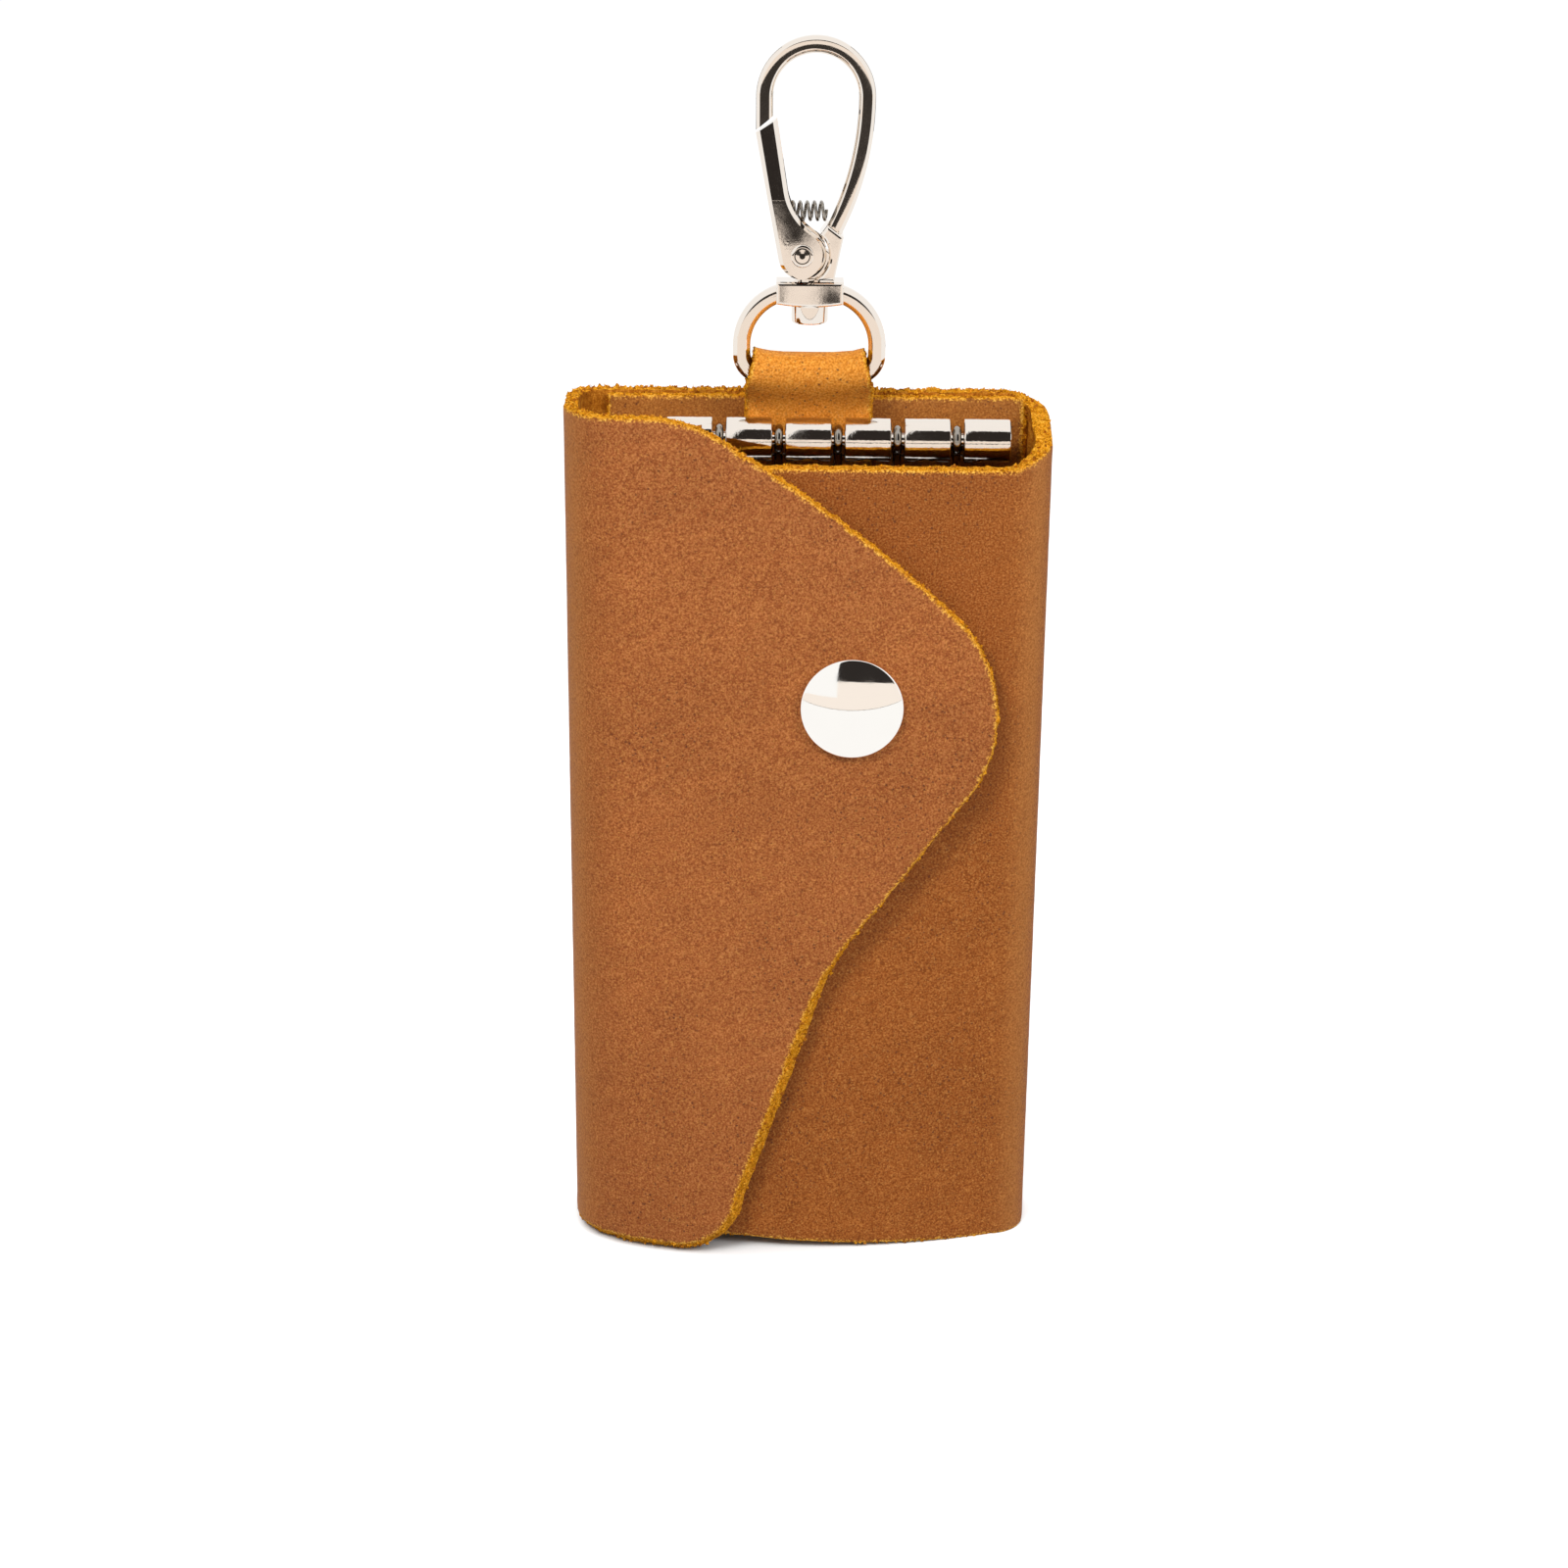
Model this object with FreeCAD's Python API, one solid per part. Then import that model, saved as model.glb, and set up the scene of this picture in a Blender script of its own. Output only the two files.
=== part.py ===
import FreeCAD, Part
import math
import os

os.makedirs("parts", exist_ok=True)

# Frame: x to the right, y to the back, z up. The case stands on its lower edges.
# Depths are measured forwards from the outer face of the back.

# Leather wrap
case_width = 61.5
case_height = 114.0
leather = 1.8
back_corner = 5.0
flap_corner = 8.0
front_corner = 5.0
panel_depth = 15.0
flap_gap = 1.6
flap_end_gap = 6.4
panel_end_gap = 17.7
front_drop = 7.0
panel_round = 8.0
lining_thickness = 1.0
lining_inset = 5.2
lining_margin = 1.4

# Outline of the flap, as shares of its reach and of the case height
flap_foot_share = (0.152, 0.0)
flap_foot_bend_share = (0.252, 0.019)
flap_heel_share = (0.322, 0.074)
flap_waist_share = (0.509, 0.297)
flap_waist_bend_share = (0.564, 0.356)
flap_rise_share = (0.660, 0.419)
flap_under_tip_share = (0.900, 0.553)
flap_tip_share = (1.0, 0.658)
flap_over_tip_share = (0.892, 0.774)
flap_brow_bend_share = (0.579, 0.883)
flap_brow_share = (0.303, 0.961)
flap_shoulder_bend_share = (0.182, 0.990)
flap_shoulder_share = (0.037, 1.0)

# Strap and swivel ring
strap_width = 14.3
leg_width = 15.8
leg_drop = 1.4
leg_spread = 1.2
strap_leather = 1.2
strap_tail = 24.0
strap_clearance = 0.2
strap_flare = 1.2
ring_stock = 2.2
ring_lift = 2.9
ring_low_radius = 2.6
ring_side_run = 1.2
ring_high_radius = 6.8
boss_width = 8.4
boss_depth = 4.4
boss_height = 2.8
boss_bevel = 0.5

stock_sides = 12

# Swivel stud
stud_shaft_radius = 1.3
stud_head_radius = 2.3
stud_head_height = 2.4
stud_head_gap = 0.1
stud_bevel = 0.35
running_fit = 0.05
seat_gap = 0.3

# Hook, measured from the swivel axis and from its own foot
hook_stock = 2.1
hook_height = 29.6
hook_bow_radius = 6.3
hook_bow_offset = 0.5
limb_root_gap = 0.2
limb_lean = 3.3
nose_drop = 4.0
nose_slant = 1.7
block_height_share = 0.2365
block_foot = 3.0
block_shoulder = 4.6
block_inner = 2.0
block_depth = 5.0
tongue_depth = 2.6
tongue_radius = 2.6
pivot_side = -1.0
pivot_rise = 3.1
pin_radius = 1.0
pin_head_radius = 1.45
pin_head_height = 0.35

# Gate, a channel whose cheeks turn on the tongue
cheek_radius = 3.0
cheek_gap = 0.35
gate_slot = 3.0
gate_web = 1.1
gate_tip_gap = 0.6
gate_tip_width = 2.6
gate_tip_depth = 2.4
gate_taper_drop = 8.0
gate_heel_drop = 0.8
gate_neck_side = -2.9
gate_neck_rise_share = 0.3716
gate_throat_side = -1.7
gate_throat_rise_share = 0.267
gate_lap_side = 0.9

# Gate spring
spring_radius = 1.1
spring_wire = 0.42
spring_turns = 6.0
spring_seat = 0.15
spring_wire_sides = 6
spring_headroom = 3.0

# Key row
row_hooks = 6
row_side_gap = 5.25
row_slot = 1.5
row_radius = 2.8
row_wall = 0.7
row_drop = 4.8
rod_radius = 0.75
foot_radius = 2.4
rivet_radius = 1.0
rivet_head_radius = 1.8
rivet_head_height = 0.6
rivet_tail_radius = 2.0
rivet_tail_depth = 0.8
pocket_clearance = 0.05

# Key hooks
key_wire = 1.1
key_wire_sides = 6
key_eye_clearance = 0.1
key_side_gap = 0.7
key_loop_length = 29.0
key_loop_gap = 0.4

# Snap fastener
snap_end_gap = 18.5
snap_rise_share = 0.675
cap_radius = 6.6
cap_height = 2.4
cap_rim = 0.7
barrel_wall = 0.4
barrel_bore = 3.2
socket_radius = 5.2
socket_thickness = 1.0
grip_wire = 0.4
snap_bead_radius = 1.9
snap_neck_radius = 1.5
snap_stud_height = 3.0
snap_base_radius = 4.4
snap_base_thickness = 0.4
snap_bead_height = 1.1
post_radius = 1.2
post_head_radius = 4.6
post_head_height = 0.6

overrun = 1.0

# Places worked out from the sizes above
diagonal_share = math.sqrt(0.5)
flap_depth = panel_depth + flap_gap + leather
total_depth = flap_depth + cap_height
back_y = total_depth / 2
half_width = case_width / 2
back_fold_x = half_width - back_corner
flap_fold_x = half_width - flap_corner
panel_fold_x = half_width - front_corner
flap_reach = half_width - flap_end_gap + flap_fold_x
panel_reach = panel_fold_x + half_width - panel_end_gap
snap_side = half_width - flap_end_gap - snap_end_gap
snap_rise = snap_rise_share * case_height
lining_depth = leather + lining_thickness
ring_radius = ring_stock / 2
loop_bore = ring_radius + strap_clearance
loop_radius = loop_bore + strap_leather
ring_depth = lining_depth + loop_radius
ring_z = case_height + ring_lift
ring_bar_half = strap_width / 2 - strap_flare
ring_waist = ring_z + ring_low_radius + ring_side_run
boss_z = ring_waist + ring_high_radius
boss_top = boss_z + boss_height / 2
boss_bottom = boss_z - boss_height / 2
hook_base = boss_top + seat_gap
bow_rise = hook_height - hook_stock / 2 - hook_bow_radius
bow_left = hook_bow_offset - hook_bow_radius
bow_right = hook_bow_offset + hook_bow_radius
block_height = block_height_share * hook_height
limb_foot_rise = block_height + limb_root_gap
gate_neck_rise = gate_neck_rise_share * hook_height
gate_throat_rise = gate_throat_rise_share * hook_height
spring_rise = block_height + spring_radius + spring_wire / 2
gate_left = bow_left - hook_stock / 2
gate_tip_rise = bow_rise - nose_drop - gate_tip_gap
row_depth = lining_depth + 2 * strap_leather
rod_depth = row_depth + row_radius
rod_z = case_height - row_drop
row_length = case_width - 2 * row_side_gap
row_pitch = (row_length + row_slot) / (row_hooks + 1)
row_end_x = (row_hooks / 2) * row_pitch
key_loop_half = (row_pitch - key_side_gap - key_wire) / 2
barrel_radius = barrel_bore + barrel_wall

right = FreeCAD.Vector(1, 0, 0)
forward = FreeCAD.Vector(0, -1, 0)
up = FreeCAD.Vector(0, 0, 1)


def at(x, depth, z):
    return FreeCAD.Vector(x, back_y - depth, z)


def face_of(points):
    return Part.Face(Part.makePolygon(points + [points[0]]))


def face_round(pieces):
    return Part.Face(Part.Wire([piece.toShape() for piece in pieces]))


def disc(x, z, depth, radius, height):
    return Part.makeCylinder(radius, height, at(x, depth, z), forward)


# Bevelled stock along a path of lines and arcs
def sweep_stock(path, radius, sides):
    edges = [piece.toShape() for piece in path]
    start = edges[0].firstVertex().Point
    heading = edges[0].tangentAt(edges[0].FirstParameter)
    circle = Part.Circle(start, heading, radius)
    step = 2 * math.pi / sides
    corners = [circle.value(step * (index + 1 / 2)) for index in range(sides)]
    section = Part.makePolygon(corners + [corners[0]])
    return Part.Wire(edges).makePipeShell([section], True, False)


def save(name, shape):
    shape = shape.removeSplitter()
    shape.exportStep("parts/" + name + ".step")
    print(name, "valid", shape.isValid(), "solids", len(shape.Solids), "volume", round(shape.Volume, 2))


# Back panel, with two shallow pockets on its inner face for the rivet tails
def make_back_panel():
    panel = Part.makeBox(2 * back_fold_x, leather, case_height, at(-back_fold_x, leather, 0))
    pocket_floor = leather - rivet_tail_depth
    pocket_radius = rivet_tail_radius + pocket_clearance
    for side in (-1, 1):
        panel = panel.cut(disc(side * row_end_x, rod_z, pocket_floor, pocket_radius, rivet_tail_depth + overrun))
    return panel


# Side wall: one strip that turns a back corner and a front corner, drawn in plan and raised
def spine_line(side, depth, radius, inset):
    wall = side * (half_width - inset)
    back_x = side * back_fold_x
    front_x = side * (half_width - radius)
    back_turn = (back_corner - inset) * diagonal_share
    front_turn = (radius - inset) * diagonal_share
    front_start = depth - radius
    return [
        Part.Arc(at(back_x, inset, 0), at(back_x + side * back_turn, back_corner - back_turn, 0),
                 at(wall, back_corner, 0)),
        Part.LineSegment(at(wall, back_corner, 0), at(wall, front_start, 0)),
        Part.Arc(at(wall, front_start, 0), at(front_x + side * front_turn, front_start + front_turn, 0),
                 at(front_x, depth - inset, 0)),
    ]


def make_spine(side, depth, radius):
    front_x = side * (half_width - radius)
    ends = [
        Part.LineSegment(at(side * back_fold_x, 0, 0), at(side * back_fold_x, leather, 0)),
        Part.LineSegment(at(front_x, depth, 0), at(front_x, depth - leather, 0)),
    ]
    pieces = spine_line(side, depth, radius, 0) + spine_line(side, depth, radius, leather) + ends
    loop = Part.Wire(Part.__sortEdges__([piece.toShape() for piece in pieces]))
    return Part.Face(loop).extrude(up * case_height)


# Right side wall: its rim falls from the back's height to the front panel's
def make_right_spine():
    low = case_height - front_drop
    start_x = panel_fold_x - overrun
    slope = face_of([
        at(start_x, back_corner, case_height),
        at(start_x, panel_depth - leather, low),
        at(start_x, panel_depth + overrun, low),
        at(start_x, panel_depth + overrun, case_height + overrun),
        at(start_x, back_corner, case_height + overrun),
    ])
    return make_spine(1, panel_depth, front_corner).cut(slope.extrude(right * (front_corner + 2 * overrun)))


# Flap: straight runs and three-point arcs round its outline
def flap_point(share):
    return at(-flap_fold_x + share[0] * flap_reach, flap_depth - leather, share[1] * case_height)


def flap_line(start, end):
    return Part.LineSegment(flap_point(start), flap_point(end))


def flap_arc(start, bend, end):
    return Part.Arc(flap_point(start), flap_point(bend), flap_point(end))


def make_flap():
    flap = face_round([
        flap_line((0, 0), flap_foot_share),
        flap_arc(flap_foot_share, flap_foot_bend_share, flap_heel_share),
        flap_line(flap_heel_share, flap_waist_share),
        flap_arc(flap_waist_share, flap_waist_bend_share, flap_rise_share),
        flap_line(flap_rise_share, flap_under_tip_share),
        flap_arc(flap_under_tip_share, flap_tip_share, flap_over_tip_share),
        flap_arc(flap_over_tip_share, flap_brow_bend_share, flap_brow_share),
        flap_arc(flap_brow_share, flap_shoulder_bend_share, flap_shoulder_share),
        flap_line(flap_shoulder_share, (0, 1)),
        flap_line((0, 1), (0, 0)),
    ]).extrude(forward * leather)
    start = flap_depth - leather - overrun
    return flap.cut(disc(snap_side, snap_rise, start, barrel_radius, leather + 2 * overrun))


# Front panel: its free edge is hidden under the flap and has rounded corners
def make_front_panel():
    height = case_height - front_drop
    free_x = panel_fold_x - panel_reach
    panel = Part.makeBox(panel_reach, leather, height, at(free_x, panel_depth, 0))
    corners = [edge for edge in panel.Edges if edge.BoundBox.XMax < free_x + leather and edge.Length < 2 * leather]
    panel = panel.makeFillet(panel_round, corners)
    start = panel_depth - leather - overrun
    return panel.cut(disc(snap_side, snap_rise, start, post_radius, leather + 2 * overrun))


def make_lining():
    half = half_width - lining_inset
    height = case_height - 2 * lining_margin
    lining = Part.makeBox(2 * half, lining_thickness, height, at(-half, lining_depth, lining_margin))
    for side in (-1, 1):
        start = leather - overrun
        lining = lining.cut(disc(side * row_end_x, rod_z, start, rivet_radius, lining_thickness + 2 * overrun))
    return lining


# Strap: bonded legs that narrow into a loop round the bar of the ring, its bore flared at both ends
def make_strap():
    foot = ring_z - strap_tail
    pinch = rod_z + row_radius + strap_clearance
    front = lining_depth + 2 * loop_radius
    half = leg_width / 2
    loop_half = strap_width / 2
    neck = ring_z - leg_drop
    top = ring_z + loop_radius + overrun

    def edge_at(depth, z):
        return at(-half, depth, z)

    strap = face_round([
        Part.LineSegment(edge_at(row_depth, foot), edge_at(lining_depth, foot)),
        Part.LineSegment(edge_at(lining_depth, foot), edge_at(lining_depth, ring_z)),
        Part.Arc(edge_at(lining_depth, ring_z), edge_at(ring_depth, ring_z + loop_radius), edge_at(front, ring_z)),
        Part.LineSegment(edge_at(front, ring_z), edge_at(row_depth, pinch)),
        Part.LineSegment(edge_at(row_depth, pinch), edge_at(row_depth, foot)),
    ]).extrude(right * leg_width)
    strap = strap.cut(Part.makeCylinder(loop_bore, leg_width, edge_at(ring_depth, ring_z), right))
    flare_radius = loop_bore + strap_leather / 2
    for side in (-1, 1):
        trim = face_of([
            at(side * half, 0, neck - leg_spread),
            at(side * (half + overrun), 0, neck - leg_spread),
            at(side * (half + overrun), 0, top),
            at(side * loop_half, 0, top),
            at(side * loop_half, 0, neck),
        ]).extrude(forward * (front + overrun))
        start = at(side * (loop_half - strap_flare), ring_depth, ring_z)
        strap = strap.cut(trim)
        strap = strap.cut(Part.makeCone(loop_bore, flare_radius, strap_flare, start, right * side))
    return strap


# Key row: slotted cover with closed ends, feet on the lining and a rod along its middle
def cover_section(radius, back, x):
    top = rod_z + radius
    low = rod_z - radius
    return face_round([
        Part.LineSegment(at(x, back, low), at(x, back, top)),
        Part.LineSegment(at(x, back, top), at(x, rod_depth, top)),
        Part.Arc(at(x, rod_depth, top), at(x, rod_depth + radius, rod_z), at(x, rod_depth, low)),
        Part.LineSegment(at(x, rod_depth, low), at(x, back, low)),
    ])


def hook_places():
    return [(index - (row_hooks - 1) / 2) * row_pitch for index in range(row_hooks)]


def make_key_plate():
    start = -row_length / 2
    inner_back = row_depth + row_wall
    plate = cover_section(row_radius, row_depth, start).extrude(right * row_length)
    hollow = cover_section(row_radius - row_wall, inner_back, start + row_wall)
    plate = plate.cut(hollow.extrude(right * (row_length - 2 * row_wall)))
    slot_depth = 2 * row_radius + overrun
    for x in hook_places():
        corner = at(x - row_slot / 2, inner_back + slot_depth, rod_z - row_radius - overrun)
        plate = plate.cut(Part.makeBox(row_slot, slot_depth, 2 * row_radius + 2 * overrun, corner))
    for side in (-1, 1):
        x = side * row_end_x
        plate = plate.fuse(disc(x, rod_z, lining_depth, foot_radius, row_depth - lining_depth))
        plate = plate.cut(disc(x, rod_z, lining_depth - overrun, rivet_radius, inner_back - lining_depth + overrun))
    bore = Part.makeCylinder(rod_radius, row_length + 2 * overrun, at(start - overrun, rod_depth, rod_z), right)
    return plate.cut(bore)


def make_key_rod():
    return Part.makeCylinder(rod_radius, row_length, at(-row_length / 2, rod_depth, rod_z), right)


def make_plate_rivets():
    tail_start = leather - rivet_tail_depth
    head_start = row_depth + row_wall
    rivets = []
    for side in (-1, 1):
        x = side * row_end_x
        shank = disc(x, rod_z, tail_start, rivet_radius, head_start - tail_start + rivet_head_height)
        tail = disc(x, rod_z, tail_start, rivet_tail_radius, rivet_tail_depth)
        head = disc(x, rod_z, head_start, rivet_head_radius, rivet_head_height)
        rivets.append(shank.fuse([tail, head]).removeSplitter())
    return Part.makeCompound(rivets)


# Key hook: wire eye round the rod, short stem and a long closed loop
def make_key_hook(x):
    wire = key_wire / 2
    eye_radius = rod_radius + key_eye_clearance + wire
    loop_top = rod_z - row_radius - key_loop_gap - wire
    high = loop_top - key_loop_half
    low = loop_top - key_loop_length + key_loop_half

    def spot(side, z):
        return at(x + side * key_loop_half, rod_depth, z)

    loop = sweep_stock([
        Part.LineSegment(spot(1, high), spot(1, low)),
        Part.Arc(spot(1, low), spot(0, low - key_loop_half), spot(-1, low)),
        Part.LineSegment(spot(-1, low), spot(-1, high)),
        Part.Arc(spot(-1, high), spot(0, loop_top), spot(1, high)),
    ], wire, key_wire_sides)
    stem = sweep_stock([Part.LineSegment(at(x, rod_depth, loop_top), at(x, rod_depth, rod_z - eye_radius))],
                       wire, key_wire_sides)
    ring = [
        Part.Arc(at(x, rod_depth, rod_z - eye_radius), at(x, rod_depth + eye_radius, rod_z),
                 at(x, rod_depth, rod_z + eye_radius)),
        Part.Arc(at(x, rod_depth, rod_z + eye_radius), at(x, rod_depth - eye_radius, rod_z),
                 at(x, rod_depth, rod_z - eye_radius)),
    ]
    return loop.fuse([stem, sweep_stock(ring, wire, key_wire_sides)])


# Snap fastener: domed cap with a barrel, socket ring with grip wires, stud and post
def make_snap_cap():
    dome_rise = cap_height - cap_rim
    sphere = (cap_radius * cap_radius + dome_rise * dome_rise) / (2 * dome_rise)
    ball = Part.makeSphere(sphere, at(snap_side, flap_depth + cap_height - sphere, snap_rise))
    dome = disc(snap_side, snap_rise, flap_depth, cap_radius, cap_height).common(ball)
    barrel = disc(snap_side, snap_rise, flap_depth - leather, barrel_radius, leather)
    bore = disc(snap_side, snap_rise, flap_depth - leather - overrun, barrel_bore, leather + overrun)
    return dome.fuse(barrel).cut(bore)


def grip_wires(radius):
    depth = flap_depth - leather - socket_thickness / 2
    half = (barrel_bore + socket_radius) / 2
    gap = snap_neck_radius + grip_wire / 2 + running_fit
    wires = []
    for side in (-1, 1):
        start = at(snap_side - half, depth, snap_rise + side * gap)
        wires.append(Part.makeCylinder(radius, 2 * half, start, right))
    return wires


def make_snap_socket():
    depth = flap_depth - leather - socket_thickness
    ring = disc(snap_side, snap_rise, depth, socket_radius, socket_thickness)
    ring = ring.cut(disc(snap_side, snap_rise, depth - overrun, barrel_bore, socket_thickness + 2 * overrun))
    return ring.cut(grip_wires(grip_wire / 2 + pocket_clearance))


def make_snap_stud():
    base = disc(snap_side, snap_rise, panel_depth, snap_base_radius, snap_base_thickness)
    neck = disc(snap_side, snap_rise, panel_depth, snap_neck_radius, snap_stud_height)
    bead_start = panel_depth + snap_stud_height - snap_bead_height
    bead = disc(snap_side, snap_rise, bead_start, snap_bead_radius, snap_bead_height)
    rims = [edge for edge in bead.Edges if edge.isClosed()]
    bead = bead.makeChamfer(snap_bead_radius - snap_neck_radius, rims)
    return base.fuse([neck, bead])


def make_stud_post():
    inner = panel_depth - leather
    head = disc(snap_side, snap_rise, inner - post_head_height, post_head_radius, post_head_height)
    return head.fuse(disc(snap_side, snap_rise, inner, post_radius, leather))


# Swivel ring: round stock round the strap's bar, with a drilled boss on top
def make_swivel_ring():
    side = ring_bar_half + ring_low_radius
    high = side - ring_high_radius
    corner = ring_z + ring_low_radius
    low_turn = ring_low_radius * (1 - diagonal_share)
    high_turn = ring_high_radius * (1 - diagonal_share)

    def spot(x, z):
        return at(x, ring_depth, z)

    ring = sweep_stock([
        Part.LineSegment(spot(-ring_bar_half, ring_z), spot(ring_bar_half, ring_z)),
        Part.Arc(spot(ring_bar_half, ring_z), spot(side - low_turn, ring_z + low_turn), spot(side, corner)),
        Part.LineSegment(spot(side, corner), spot(side, ring_waist)),
        Part.Arc(spot(side, ring_waist), spot(side - high_turn, boss_z - high_turn), spot(high, boss_z)),
        Part.LineSegment(spot(high, boss_z), spot(-high, boss_z)),
        Part.Arc(spot(-high, boss_z), spot(high_turn - side, boss_z - high_turn), spot(-side, ring_waist)),
        Part.LineSegment(spot(-side, ring_waist), spot(-side, corner)),
        Part.Arc(spot(-side, corner), spot(low_turn - side, ring_z + low_turn), spot(-ring_bar_half, ring_z)),
    ], ring_radius, stock_sides)
    boss = Part.makeBox(boss_width, boss_depth, boss_height,
                        at(-boss_width / 2, ring_depth + boss_depth / 2, boss_bottom))
    boss = boss.makeChamfer(boss_bevel, boss.Edges)
    hole = Part.makeCylinder(stud_shaft_radius + running_fit, boss_height + 2 * overrun,
                             at(0, ring_depth, boss_bottom - overrun), up)
    return ring.fuse(boss).cut(hole)


def make_swivel_stud():
    head_top = boss_bottom - stud_head_gap
    head_bottom = head_top - stud_head_height
    head = Part.makeCylinder(stud_head_radius, stud_head_height, at(0, ring_depth, head_bottom), up)
    head = head.makeChamfer(stud_bevel, [edge for edge in head.Edges if edge.isClosed()])
    shaft = Part.makeCylinder(stud_shaft_radius, hook_base - head_bottom, at(0, ring_depth, head_bottom), up)
    return head.fuse(shaft)


# Hook: bow and limb as round stock, a block at the foot and a tongue between the gate's cheeks
def hook_spot(x, rise, out=0):
    return at(x, ring_depth + out, hook_base + rise)


def hook_plate(points, depth):
    return face_of([hook_spot(x, rise, -depth / 2) for x, rise in points]).extrude(forward * depth)


def pivot_disc(radius, depth):
    return Part.makeCylinder(radius, depth, hook_spot(pivot_side, pivot_rise, -depth / 2), forward)


def make_hook_frame():
    drop = bow_rise - limb_foot_rise
    lean_radius = (limb_lean * limb_lean + drop * drop) / (2 * limb_lean)
    half_turn = math.atan2(limb_lean, drop)
    sag = lean_radius * (1 - math.cos(half_turn))
    foot_x = bow_right - limb_lean
    root_drop = limb_foot_rise / 2
    root_x = foot_x - root_drop * math.tan(2 * half_turn)
    nose_low = bow_rise - nose_drop
    bow = sweep_stock([
        Part.LineSegment(hook_spot(bow_left, nose_low), hook_spot(bow_left, bow_rise)),
        Part.Arc(hook_spot(bow_left, bow_rise), hook_spot(hook_bow_offset, bow_rise + hook_bow_radius),
                 hook_spot(bow_right, bow_rise)),
        Part.Arc(hook_spot(bow_right, bow_rise),
                 hook_spot(bow_right - sag, bow_rise - lean_radius * math.sin(half_turn)),
                 hook_spot(foot_x, limb_foot_rise)),
        Part.LineSegment(hook_spot(foot_x, limb_foot_rise), hook_spot(root_x, limb_foot_rise - root_drop)),
    ], hook_stock / 2, stock_sides)
    bow = bow.cut(hook_plate([
        (gate_left, nose_low - overrun),
        (gate_left + hook_stock, nose_low - overrun),
        (gate_left + hook_stock, nose_low + nose_slant),
        (gate_left, nose_low),
    ], 2 * hook_stock))
    block = hook_plate([
        (pivot_side, 0),
        (block_foot, 0),
        (block_shoulder, block_height),
        (block_inner, block_height),
        (pivot_side, pivot_rise),
    ], block_depth)
    outer_edges = [edge for edge in block.Edges if edge.BoundBox.XMin > block_inner + running_fit]
    block = block.makeChamfer(boss_bevel, outer_edges)
    solid = bow.fuse(block).cut(pivot_disc(cheek_radius + cheek_gap, block_depth + 2 * overrun))
    tongue = hook_plate([
        (-block_foot / 2, 0),
        (block_foot, 0),
        (block_inner, pivot_rise),
        (pivot_side, pivot_rise),
    ], tongue_depth)
    frame = solid.fuse([tongue, pivot_disc(tongue_radius, tongue_depth)])
    return frame.cut(pivot_disc(pin_radius, block_depth))


def make_gate_pin():
    heads = pivot_disc(pin_head_radius, block_depth + 2 * pin_head_height).cut(pivot_disc(cheek_radius, block_depth))
    return pivot_disc(pin_radius, block_depth).fuse(heads)


def make_hook_gate():
    back = -block_depth / 2
    heel_rise = pivot_rise - gate_heel_drop
    heel_side = pivot_side - math.sqrt(cheek_radius * cheek_radius - gate_heel_drop * gate_heel_drop)
    lap = gate_lap_side - pivot_side
    lap_rise = pivot_rise + math.sqrt(cheek_radius * cheek_radius - lap * lap)
    tip_inner = gate_left + gate_tip_width
    web_lean = (heel_side - gate_left) / (gate_tip_rise - heel_rise)

    def spot(x, rise):
        return hook_spot(x, rise, back)

    gate = face_round([
        Part.LineSegment(spot(heel_side, heel_rise), spot(gate_left, gate_tip_rise)),
        Part.LineSegment(spot(gate_left, gate_tip_rise), spot(tip_inner, gate_tip_rise + nose_slant)),
        Part.LineSegment(spot(tip_inner, gate_tip_rise + nose_slant), spot(gate_neck_side, gate_neck_rise)),
        Part.Arc(spot(gate_neck_side, gate_neck_rise), spot(gate_throat_side, gate_throat_rise),
                 spot(gate_lap_side, lap_rise)),
        Part.Arc(spot(gate_lap_side, lap_rise), spot(pivot_side, pivot_rise - cheek_radius),
                 spot(heel_side, heel_rise)),
    ]).extrude(forward * block_depth)
    slot_top = spring_rise + spring_radius + spring_headroom
    slot_foot = pivot_rise - cheek_radius - overrun
    slot = hook_plate([
        (heel_side + gate_web + web_lean * (heel_rise - slot_foot), slot_foot),
        (heel_side + gate_web - web_lean * (slot_top - heel_rise), slot_top),
        (pivot_side + cheek_radius + overrun, slot_top),
        (pivot_side + cheek_radius + overrun, slot_foot),
    ], gate_slot)
    gate = gate.cut([slot, pivot_disc(tongue_radius + cheek_gap, gate_slot)])
    taper_start = gate_tip_rise - gate_taper_drop
    taper_top = gate_tip_rise + nose_slant + overrun
    for side in (-1, 1):
        wedge = face_of([
            hook_spot(gate_left - overrun, taper_start, side * block_depth / 2),
            hook_spot(gate_left - overrun, taper_top, side * gate_tip_depth / 2),
            hook_spot(gate_left - overrun, taper_top, side * block_depth),
            hook_spot(gate_left - overrun, taper_start, side * block_depth),
        ])
        gate = gate.cut(wedge.extrude(right * (gate_tip_width - gate_left)))
    return gate.cut(pivot_disc(pin_radius + running_fit, block_depth + 2 * overrun))


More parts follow.
